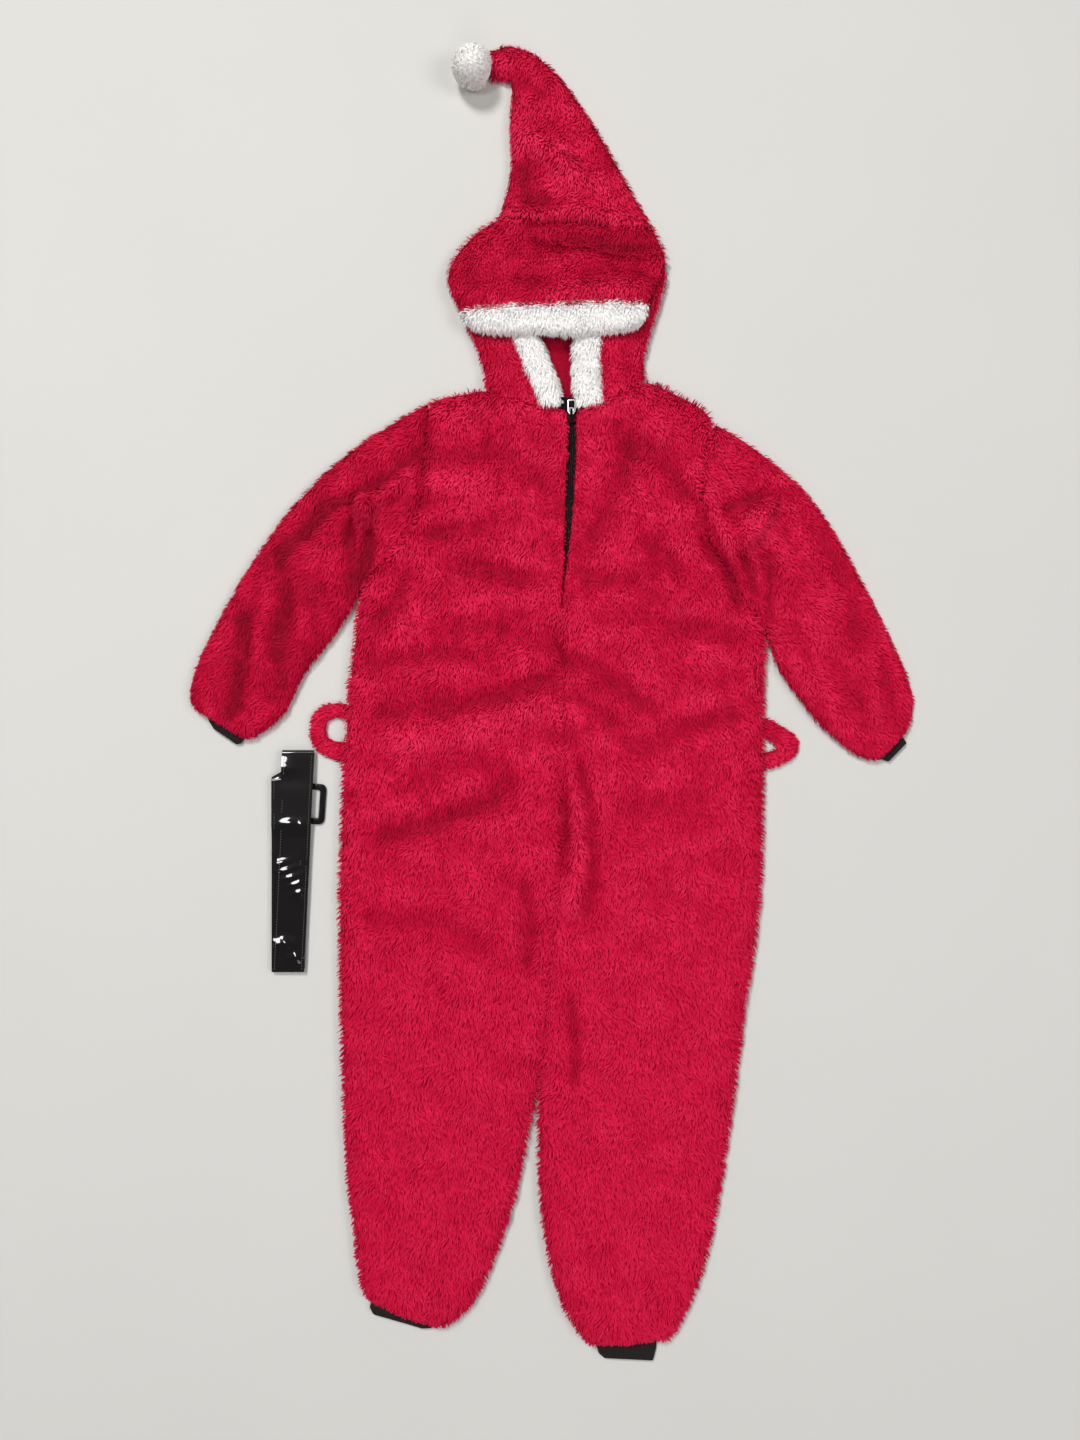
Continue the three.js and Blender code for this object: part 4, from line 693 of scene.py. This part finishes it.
def bulges_at(points):
    """The height of the strap's bulges at each point, in metres."""
    x, y = on_drawing(points)
    height = np.zeros(len(points))
    for at_x, at_y, half_width, half_length, turn, rise, ripples in BULGES:
        c, s = math.cos(math.radians(turn)), math.sin(math.radians(turn))
        u = ((x - at_x) * c + (y - at_y) * s) / half_width
        v = ((y - at_y) * c - (x - at_x) * s) / half_length
        height += rise * np.exp(-u ** 2 - v ** 2) * (1 + 0.22 * np.sin(ripples * (u + 0.4 * v) * 2))
    return height * MM


def waves(points, pitch, seed, count=7):
    """Smooth unevenness from -1 to 1 with hollows about a pitch apart."""
    rng = np.random.default_rng(seed)
    total = np.zeros(len(points))
    for _ in range(count):
        way = rng.uniform(0, 2 * np.pi)
        size = 2 * np.pi / (pitch * rng.uniform(0.7, 1.6))
        run = points[:, 0] * np.cos(way) + points[:, 1] * np.sin(way)
        total += np.sin(size * run + rng.uniform(0, 6.3))
    return total / count ** 0.5 / 1.5


def stretched(points, degrees):
    """Points squeezed along a way, so that what is made on them comes out long along it."""
    c, s = math.cos(math.radians(degrees)), math.sin(math.radians(degrees))
    along = points[:, 0] * c + points[:, 1] * s
    across = points[:, 1] * c - points[:, 0] * s
    return np.stack([0.42 * along, across, points[:, 2]], axis=1)


def lay_down(piece, under_pile, creased):
    """Gives a sheet its creases and soft unevenness, and sinks its knit ground under the pile."""
    mesh = piece.data
    points, normals = points_of(mesh), normals_of(mesh)
    tree = surface_tree([piece])
    upper = normals[:, 2] > 0.2
    wall = np.array([wall_under(tree, p) if up else 0.0 for p, up in zip(points, upper)])
    moved = points.copy()
    if creased:
        room = np.maximum(points[:, 2] - wall - FRONT_REST, 0)
        uneven = 2.0 * MM * waves(points, 85 * MM, 3) + 0.9 * MM * waves(points, 38 * MM, 4)
        rise = 1.6 * creases_at(points) + uneven
        fade = 1 - np.exp(-room / (4 * MM))
        moved[:, 2] += np.maximum(rise, -0.85 * room) * fade
    moved[:, 2] -= np.where(upper, under_pile * wall, 0)
    set_points(mesh, moved)


def cut_long_edges(piece, longest):
    """Halves the long edges of a sheet's upper side, so that it can follow narrow creases."""
    bm = bmesh.new()
    bm.from_mesh(piece.data)
    bm.normal_update()
    long = [
        edge for edge in bm.edges
        if edge.calc_length() > longest and all(vert.normal.z > 0.3 for vert in edge.verts)
    ]
    bmesh.ops.subdivide_edges(bm, edges=long, cuts=1, use_grid_fill=True)
    bm.to_mesh(piece.data)
    bm.free()


def lay_sheet(node, levels, material, under_pile):
    """The knit ground of one sheet, made smooth, creased where it lies in front, and dressed."""
    piece = solid_copy(f"cloth_{node}", node, material)
    modified(piece, "SUBSURF", levels=levels, render_levels=levels)
    if node in FRONT_LAYER:
        cut_long_edges(piece, 9 * MM)
    lay_down(piece, under_pile, node in FRONT_LAYER)
    piece.data.polygons.foreach_set("use_smooth", [True] * len(piece.data.polygons))
    dress(piece, node)


# ---------------------------------------------------------------- pile and fur

def scattered(mesh, spacing, rng, keep):
    """Random points on the faces that keep chooses: their places and normals."""
    mesh.calc_loop_triangles()
    corners = np.empty(len(mesh.loop_triangles) * 3, dtype=np.int64)
    mesh.loop_triangles.foreach_get("vertices", corners)
    corners = corners.reshape(-1, 3)
    points, normals = points_of(mesh), normals_of(mesh)
    a, b, c = (points[corners[:, i]] for i in range(3))
    cross = np.cross(b - a, c - a)
    area = np.linalg.norm(cross, axis=1) / 2
    chosen = keep((a + b + c) / 3, cross / np.maximum(2 * area[:, None], 1e-12))
    area = np.where(chosen, area, 0)
    count = int(area.sum() / spacing ** 2)
    if count == 0:
        return np.zeros((0, 3)), np.zeros((0, 3))
    ends = np.cumsum(area)
    # Stratified along the faces, so that no patch is bare
    wanted = (np.arange(count) + rng.uniform(0, 1, count)) * ends[-1] / count
    face = np.searchsorted(ends, wanted)
    u, v = rng.uniform(0, 1, count), rng.uniform(0, 1, count)
    flip = u + v > 1
    u, v = np.where(flip, 1 - u, u), np.where(flip, 1 - v, v)
    shares = np.stack([1 - u - v, u, v], axis=1)[:, :, None]
    place = (shares * points[corners[face]]).sum(axis=1)
    return place, unit((shares * normals[corners[face]]).sum(axis=1))


def locks(name, place, normal, way, length, width, lean, droop, tone, rng, material):
    """One bent blade of fibres at each place, lying along way and drooping towards its tip.

    A blade is shaded mostly as the cloth under it, since real fibres let light through.
    """
    count = len(place)
    roll = rng.normal(0, 0.35, count)[:, None]
    side = np.cross(normal, way)
    side = np.cos(roll) * side + np.sin(roll) * normal
    first = np.cos(lean)[:, None] * way + np.sin(lean)[:, None] * normal
    second = np.cos(droop)[:, None] * way + np.sin(droop)[:, None] * normal
    root = place - normal * 0.6 * MM
    middle = root + first * (0.5 * length)[:, None]
    tip = middle + second * (0.5 * length)[:, None]
    half = (0.5 * width)[:, None]
    wide, narrow = side * half, side * half * 0.9
    points = [root - wide, root + wide, middle - narrow, middle + narrow, tip]
    points = np.stack(points, axis=1).reshape(-1, 3)
    points[:, 2] = np.maximum(points[:, 2], 0.2 * MM)
    shape = np.array([(0, 3, 1), (0, 2, 3), (2, 4, 3)])
    faces = (np.arange(count)[:, None, None] * 5 + shape[None]).reshape(-1, 3)
    mesh = bpy.data.meshes.new(name)
    mesh.vertices.add(len(points))
    mesh.vertices.foreach_set("co", points.ravel())
    mesh.loops.add(faces.size)
    mesh.loops.foreach_set("vertex_index", faces.ravel())
    mesh.polygons.add(len(faces))
    mesh.polygons.foreach_set("loop_start", np.arange(0, faces.size, 3))
    mesh.update(calc_edges=True)
    mesh.polygons.foreach_set("use_smooth", [True] * len(faces))
    upright = normal * np.array((1.35, 1.35, 1)) + rng.normal(0, 0.07, (count, 3))
    rounded = [upright - side * 0.4, upright + side * 0.4, upright - side * 0.4, upright + side * 0.4]
    rounded.append(upright + way * 0.2)
    mesh.normals_split_custom_set_from_vertices(unit(np.stack(rounded, axis=1).reshape(-1, 3)))
    height = mesh.attributes.new("pile_height", "FLOAT", "POINT")
    height.data.foreach_set("value", np.tile([0.0, 0.0, 0.6, 0.6, 1.0], count))
    shade = mesh.attributes.new("pile_tone_and_shade", "FLOAT", "POINT")
    shade.data.foreach_set("value", np.repeat(np.clip(tone, 0, 1), 5))
    return add_piece(name, mesh, material)


def uncovered(cover, place, normal):
    """Which points have open air above them."""
    clear = np.ones(len(place), dtype=bool)
    start = place + normal * 1.2 * MM + np.array((0, 0, 0.4 * MM))
    for i, point in enumerate(start):
        if cover.ray_cast(Vector(point), Vector((0, 0, 1)), 60 * MM)[0]:
            clear[i] = False
    return clear


def seam_closeness(others, place, reach):
    """1 where a point touches a neighbouring sheet, falling to 0 at reach, and the way to it."""
    close, towards = np.zeros(len(place)), np.zeros((len(place), 3))
    for i, point in enumerate(place):
        found = others.find_nearest(Vector(point), reach)
        if found[0] is not None:
            close[i] = 1 - found[3] / reach
            towards[i] = (found[0] - Vector(point)).normalized()
    return close, towards


def cuff_closeness(place, reach):
    """1 on the seam of a cuff, falling to 0 at reach."""
    close = np.zeros(len(place))
    for rows in CUFFS.values():
        start = np.array(rows[0][0:2]) * MM + DRAWN
        end = np.array(rows[0][2:4]) * MM + DRAWN
        line = end - start
        share = np.clip(((place[:, :2] - start) @ line) / (line @ line), 0, 1)
        away = np.linalg.norm(place[:, :2] - start - share[:, None] * line, axis=1)
        close = np.maximum(close, 1 - away / reach)
    return close


def combed(node, sheet, others, tapes, heading, length, width, spacing, seed, material, slot_name):
    """The pile of one sheet: locks that lie along its nap, which wanders as brushed plush does."""
    rng = np.random.default_rng(seed)
    red = slot_name == "red_pile"

    def keep(centre, normal):
        return (normal[:, 2] > -0.35) & (centre[:, 2] > 1.5 * MM)

    place, normal = scattered(sheet.data, spacing, rng, keep)
    clear = uncovered(others, place, normal)
    place, normal = place[clear], normal[clear]
    count = len(place)
    swirl = 0.5 * waves(place, 95 * MM, 11) + 0.45 * waves(place, 34 * MM, 12) + rng.normal(0, 0.3, count)
    angle = math.radians(heading) + swirl
    way = np.stack([np.cos(angle), np.sin(angle), np.zeros(count)], axis=1)
    against = np.clip(-(way * normal).sum(axis=1), 0, 1)
    seam, towards = seam_closeness(others, place, SEAM_REACH)
    zip_side, zip_way = seam_closeness(tapes, place, ZIP_REACH)
    seam = np.where(zip_side > 0, 0, seam) * (1.0 if red else 0.25)
    way += 0.8 * normal * np.array((1, 1, 0)) + 1.6 * (seam ** 1.5)[:, None] * towards
    way -= 1.5 * zip_side[:, None] * zip_way
    way = along_cloth(way, normal)
    stand = waves(place, 26 * MM, 13)
    rise = PILE_LEAN + 10 * stand + 28 * seam + 20 * against + rng.normal(0, 8, count)
    rise = np.radians(np.clip(rise, 8, 85))
    droop = 6 + 8 * stand + 6 * seam + 30 * against + rng.normal(0, 9, count)
    droop = np.radians(np.clip(droop, -14, 60))
    drawn = stretched(place, heading if node.startswith("sleeve") else heading - 90)
    calm = 0.35 + 0.65 / (1 + np.exp((LEG_CALM - place[:, 1]) / (70 * MM)))
    patches = (0.11 * waves(drawn, 42 * MM, 14) + 0.07 * waves(place, 22 * MM, 15)) * calm
    # Painted shade and light: the pile's tone is darker in crease hollows and a little paler on crease
    # ridges
    painted_crease_shading = np.clip(creases_at(place) / FOLD_SHADE, -0.42, 0.12)
    # The tone also takes each sheet's painted light or shade from the table above, random patches and noise,
    # and is a little darker near seams
    tone = 0.54 + PAINTED_SHEET_SHADING.get(node, 0) + patches - 0.04 * seam + rng.normal(0, 0.05, count) + painted_crease_shading
    sizes = length * rng.uniform(0.75, 1.2, count) * (1 + 0.3 * seam)
    sizes *= (1 - 0.6 * cuff_closeness(place, CUFF_REACH)) * (1 - 0.35 * zip_side)
    widths = width * rng.uniform(0.7, 1.25, count)
    piece = locks(f"pile_{node}", place, normal, way, sizes, widths, rise, droop, tone, rng, material)
    dress(piece)
    return piece


# ---------------------------------------------------------------- operators

class SUIT_OT_cloth(Operator):
    """Lays out the knit ground of every plush and fur piece"""

    bl_idname = "suit.cloth"
    bl_label = "Cloth"

    def execute(self, context):
        share = context.scene.suit_pile.under_pile
        for node, spec in PLUSH.items():
            ground = "knit_inside_red" if node == "hood_back" else "knit_ground_red"
            lay_sheet(node, spec[0], ground, 0.0 if node == "hood_back" else share)
        for node, spec in FUR.items():
            lay_sheet(node, spec[0], "knit_ground_white", share)
        return {"FINISHED"}


class SUIT_OT_pile(Operator):
    """Grows the red pile and the white fur on the cloth"""

    bl_idname = "suit.pile"
    bl_label = "Pile and Fur"

    def execute(self, context):
        sizes = context.scene.suit_pile
        sheets = {node: bpy.data.objects[f"cloth_{node}"] for node in (*PLUSH, *FUR)}
        tapes = surface_tree([bpy.data.objects["tape_left"], bpy.data.objects["tape_right"]])
        for number, (node, sheet) in enumerate(sheets.items()):
            red = node in PLUSH
            _, heading, share, flat, area = PLUSH[node] if red else FUR[node]
            if red:
                look = (sizes.lock_length * share, sizes.lock_width, sizes.lock_spacing)
                finish = ("plush_acrylic_red", "red_pile")
            else:
                look = (sizes.fur_length * share, sizes.fur_width, sizes.fur_spacing)
                finish = ("fur_acrylic_white", "white_fur")
            others = surface_tree([other for other in sheets.values() if other != sheet])
            pile = combed(node, sheet, others, tapes, heading, *look, PILE_SEED + number, *finish)
        return {"FINISHED"}


class SUIT_OT_pompom(Operator):
    """Makes the white pompom at the tip of the hat"""

    bl_idname = "suit.pompom"
    bl_label = "Pompom"

    def execute(self, context):
        x, y, z = POMPOM_CENTRE
        centre = Vector((DRAWN[0] + x * MM, DRAWN[1] + y * MM, z * MM))
        bm = bmesh.new()
        bmesh.ops.create_icosphere(bm, subdivisions=4, radius=1.0)
        bmesh.ops.scale(bm, verts=bm.verts, vec=Vector(POMPOM_CORE) * MM)
        bmesh.ops.translate(bm, verts=bm.verts, vec=centre)
        core = from_bmesh("pompom_core", bm, "knit_ground_white")
        dress(core, "pompom")
        rng = np.random.default_rng(POMPOM_SEED)
        place, normal = scattered(core.data, POMPOM_SPACING * MM, rng, lambda _, normal: normal[:, 2] > -2)
        # No locks where the hat's tip or the floor presses on it
        hat = (normal[:, 0] > 0.62) & (normal[:, 2] < 0.35)
        floor = place[:, 2] + normal[:, 2] * 10 * MM < 1.5 * MM
        place, normal = place[~hat & ~floor], normal[~hat & ~floor]
        count = len(place)
        angle = rng.uniform(0, 2 * np.pi, count)
        loose = np.stack([np.cos(angle), np.sin(angle), rng.normal(-0.4, 0.5, count)], axis=1)
        loose = along_cloth(loose, normal)
        lean = np.radians(rng.uniform(32, 70, count))
        droop = np.radians(rng.uniform(0, 40, count))
        length = rng.uniform(6, 9, count) * MM
        tone = 0.72 + rng.normal(0, 0.16, count)
        widths = rng.uniform(1.0, 1.7, count) * MM
        fluff = locks(
            "pile_pompom", place, normal, loose, length, widths, lean, droop, tone, rng, "fur_acrylic_white")
        dress(fluff)
        return {"FINISHED"}


def cuff_ring(row, ribs):
    """Points round a flattened rib cuff at one of its rows."""
    outer, inner = Vector(row[0:2]), Vector(row[2:4])
    across = (inner - outer).normalized()
    straight = (inner - outer).length - CUFF_HEIGHT
    half = CUFF_HEIGHT / 2
    turn = math.pi * half
    around = 2 * (straight + turn)
    points = []
    for k in range(ribs * POINTS_PER_RIB):
        at = around * k / (ribs * POINTS_PER_RIB)
        depth = half - RIB_RELIEF * (0.5 - 0.5 * math.cos(2 * math.pi * k / POINTS_PER_RIB))
        if at < straight:
            x, z = half + at, depth
        elif at < straight + turn:
            angle = (at - straight) / half
            x, z = half + straight + depth * math.sin(angle), depth * math.cos(angle)
        elif at < 2 * straight + turn:
            x, z = half + 2 * straight + turn - at, -depth
        else:
            angle = (at - 2 * straight - turn) / half
            x, z = half - depth * math.sin(angle), -depth * math.cos(angle)
        place = outer + across * x
        points.append(Vector((place.x, place.y, z + half + CUFF_LIFT)) * MM + Vector((*DRAWN, 0)))
    return points


class SUIT_OT_cuffs(Operator):
    """Knits the four rib cuffs"""

    bl_idname = "suit.cuffs"
    bl_label = "Rib Cuffs"

    def execute(self, context):
        for node, rows in CUFFS.items():
            width = math.dist(rows[0][0:2], rows[0][2:4])
            around = 2 * (width - CUFF_HEIGHT) + math.pi * CUFF_HEIGHT
            ribs = round(around / RIB_PITCH)
            stations = []
            for row, after in zip(rows, rows[1:]):
                stations += [
                    [a + (b - a) * step / STEPS_PER_ROW for a, b in zip(row, after)]
                    for step in range(STEPS_PER_ROW)
                ]
            stations.append(rows[-1])
            bm = bmesh.new()
            rings = [[bm.verts.new(p) for p in cuff_ring(row, ribs)] for row in stations]
            for lower, upper in zip(rings, rings[1:]):
                for k in range(len(lower)):
                    after = (k + 1) % len(lower)
                    bm.faces.new((lower[k], lower[after], upper[after], upper[k]))
            bmesh.ops.recalc_face_normals(bm, faces=bm.faces)
            cuff = from_bmesh(f"rib_{node}", bm, "knit_rib_black")
            modified(cuff, "SOLIDIFY", thickness=CUFF_WALL * MM, offset=-1)
            dress(cuff, node)
        return {"FINISHED"}


class SUIT_OT_zip(Operator):
    """Makes the zip's tapes, coil, slider and pull tab"""

    bl_idname = "suit.zip"
    bl_label = "Zip"

    def execute(self, context):
        sizes = context.scene.suit_zip
        tapes = []
        for side in ("left", "right"):
            tape = solid_copy(f"tape_{side}", f"zip_tape_{side}", "woven_polyester")
            modified(tape, "SUBSURF", subdivision_type="SIMPLE", levels=2, render_levels=2)
            dress(tape, f"zip_tape_{side}")
            tapes.append(tape)
        self.add_coil(tapes, sizes)
        for node, body in (("zip_slider", BODY), ("zip_pull", "pull")):
            part = solid_copy(node.replace("zip", "enamelled"), node, "enamelled_zinc")
            # The pull's sloped edge ring takes this second material, a painted highlight
            part.data.materials.append(material_of("painted_highlight_metal"))
            if node == "zip_pull":
                self.paint_highlight_edges(part)
            modified(part, "BEVEL", width=0.35 * MM, segments=3, limit_method="ANGLE")
            part.data.set_sharp_from_angle(angle=math.radians(14))
            dress(part, node, body)
        return {"FINISHED"}

    def paint_highlight_edges(self, part):
        """Slopes the upper face towards its edges and gives that sloped ring the pale metal of a painted
        highlight.
        """
        bm = bmesh.new()
        bm.from_mesh(part.data)
        bm.normal_update()
        upper = [face for face in bm.faces if face.normal.z > 0.9]
        painted_highlight = bmesh.ops.inset_region(
            bm, faces=upper, thickness=1.3 * MM, depth=0.35 * MM, use_even_offset=True)
        for face in painted_highlight["faces"]:
            face.material_index = 1
        bm.to_mesh(part.data)
        bm.free()

    def add_coil(self, tapes, sizes):
        """One short bead for each turn of the coil, on both tapes, meeting on the centre line."""
        tree = surface_tree(tapes)
        left = points_of(tapes[0].data)
        low, high = left[:, 1].min() + 2 * MM, COIL_TOP * MM + DRAWN[1]
        bm = bmesh.new()
        turns = int((high - low) / sizes.coil_pitch)
        bead = (sizes.coil_width * 0.52, sizes.coil_pitch * 0.4, 0.55 * MM)
        for side, shift in ((-1, 0.0), (1, 0.5)):
            for k in range(turns):
                y = low + (k + shift) * sizes.coil_pitch
                strip = left[np.abs(left[:, 1] - y) < 9 * MM]
                centre = strip[:, 0].max() + 0.15 * MM
                add_bead(bm, tree, centre + side * sizes.coil_width * 0.42, y, bead, 0.25 * MM)
        coil = from_bmesh("zip_coil", bm, "nylon_coil")
        dress(coil)


class SUIT_OT_belt(Operator):
    """Makes the folded patent strap, its stitching and its buckle"""

    bl_idname = "suit.belt"
    bl_label = "Belt"

    def execute(self, context):
        sizes = context.scene.suit_belt
        strap = solid_copy("patent_strap", "belt_strap", "patent_vinyl")
        modified(strap, "SUBSURF", subdivision_type="SIMPLE", levels=3, render_levels=3)
        points = points_of(strap.data)
        top = np.clip((points[:, 2] - STRAP_TOP) / (1.2 * MM), 0, 1)
        crinkled = sizes.crinkle * 0.25 * waves(points, 70 * MM, 31)
        points[:, 2] += top * (crinkled + bulges_at(points))
        set_points(strap.data, points)
        strap.data.polygons.foreach_set("use_smooth", [False] * len(strap.data.polygons))
        strap.data.set_sharp_from_angle(angle=math.radians(40))
        strap.data.polygons.foreach_set("use_smooth", [True] * len(strap.data.polygons))
        dress(strap, "belt_strap")
        stitches = self.add_stitches(strap, sizes)
        buckle = solid_copy("buckle_frame", "belt_buckle", "moulded_acetal")
        modified(buckle, "BEVEL", width=0.6 * MM, segments=3, limit_method="ANGLE")
        dress(buckle, "belt_buckle")
        return {"FINISHED"}

    def add_stitches(self, strap, sizes):
        """A row of stitches inside each long edge of the strap's uppermost run."""
        tree = surface_tree([strap])
        points = points_of(strap.data)
        upper = points[points[:, 2] > STRAP_TOP + 1.1 * MM]
        low, high = upper[:, 1].min() + 4 * MM, upper[:, 1].max() - 4 * MM
        stitch = (0.5 * MM, sizes.stitch_pitch * 0.36, 0.45 * MM)
        bm = bmesh.new()
        for k in range(int((high - low) / sizes.stitch_pitch)):
            y = low + k * sizes.stitch_pitch
            near = upper[np.abs(upper[:, 1] - y) < 7 * MM]
            for x in (near[:, 0].min() + sizes.stitch_inset, near[:, 0].max() - sizes.stitch_inset):
                add_bead(bm, tree, x, y, stitch, 0.12 * MM)
        stitches = from_bmesh("strap_stitches", bm, "sewing_polyester")
        dress(stitches)
        return stitches


class SUIT_OT_stage(Operator):
    """Sets out the pale ground, the soft lights and the camera that looks straight down"""

    bl_idname = "suit.stage"
    bl_label = "Stage"

    def execute(self, context):
        sizes = context.scene.suit_stage
        scene = context.scene
        scene.view_settings.view_transform = "Standard"
        bm = bmesh.new()
        bmesh.ops.create_grid(bm, x_segments=1, y_segments=1, size=GROUND_HALF)
        ground = from_bmesh("ground", bm, "painted_board")
        world = bpy.data.worlds.new("studio")
        world.use_nodes = True
        fill(world.node_tree.nodes["Background"], {"Color": DAYLIGHT_COLOUR, "Strength": sizes.daylight})
        scene.world = world
        for name, place, size, share in LIGHTS:
            lamp = bpy.data.lights.new(name, "AREA")
            lamp.shape = "DISK"
            lamp.size = size
            lamp.energy = sizes.key * share
            light = bpy.data.objects.new(name, lamp)
            light.location = place
            light.rotation_euler = Vector(place).to_track_quat("Z", "Y").to_euler()
            scene.collection.objects.link(light)
        camera = bpy.data.objects.new("camera", bpy.data.cameras.new("camera"))
        camera.data.lens = sizes.lens
        camera.data.sensor_width = 36
        camera.data.clip_start = 0.05
        camera.data.clip_end = 30
        x, y = CAMERA_PLACE
        camera.location = (DRAWN[0] + x * MM, DRAWN[1] + y * MM, sizes.height)
        scene.collection.objects.link(camera)
        scene.camera = camera
        return {"FINISHED"}


class SUIT_PT_panel(Panel):
    """Lists the steps that make the pieces, and their sizes"""

    bl_idname = "SUIT_PT_panel"
    bl_label = "Jumpsuit"
    bl_space_type = "VIEW_3D"
    bl_region_type = "UI"
    bl_category = "Jumpsuit"

    def draw(self, context):
        for operator in OPERATORS:
            self.layout.operator(operator.bl_idname)
        for name, kind in PROPERTIES.items():
            box = self.layout.box()
            for prop in kind.__annotations__:
                box.prop(getattr(context.scene, name), prop)


PROPERTIES = {
    "suit_pile": PileSizes,
    "suit_belt": BeltSizes,
    "suit_zip": ZipSizes,
    "suit_colours": SuitColours,
    "suit_stage": StageSizes,
}
OPERATORS = (
    SUIT_OT_stage, SUIT_OT_cloth, SUIT_OT_pompom, SUIT_OT_cuffs, SUIT_OT_zip, SUIT_OT_belt, SUIT_OT_pile)


def register():
    for kind in (*PROPERTIES.values(), *OPERATORS, SUIT_PT_panel):
        bpy.utils.register_class(kind)
    for name, kind in PROPERTIES.items():
        setattr(bpy.types.Scene, name, PointerProperty(type=kind))


def unregister():
    for name in PROPERTIES:
        delattr(bpy.types.Scene, name)
    for kind in reversed((*PROPERTIES.values(), *OPERATORS, SUIT_PT_panel)):
        bpy.utils.unregister_class(kind)


def main():
    register()
    bpy.ops.suit.stage()
    bpy.ops.suit.cloth()
    bpy.ops.suit.pompom()
    bpy.ops.suit.cuffs()
    bpy.ops.suit.zip()
    bpy.ops.suit.belt()
    bpy.ops.suit.pile()


if __name__ == "__main__":
    main()
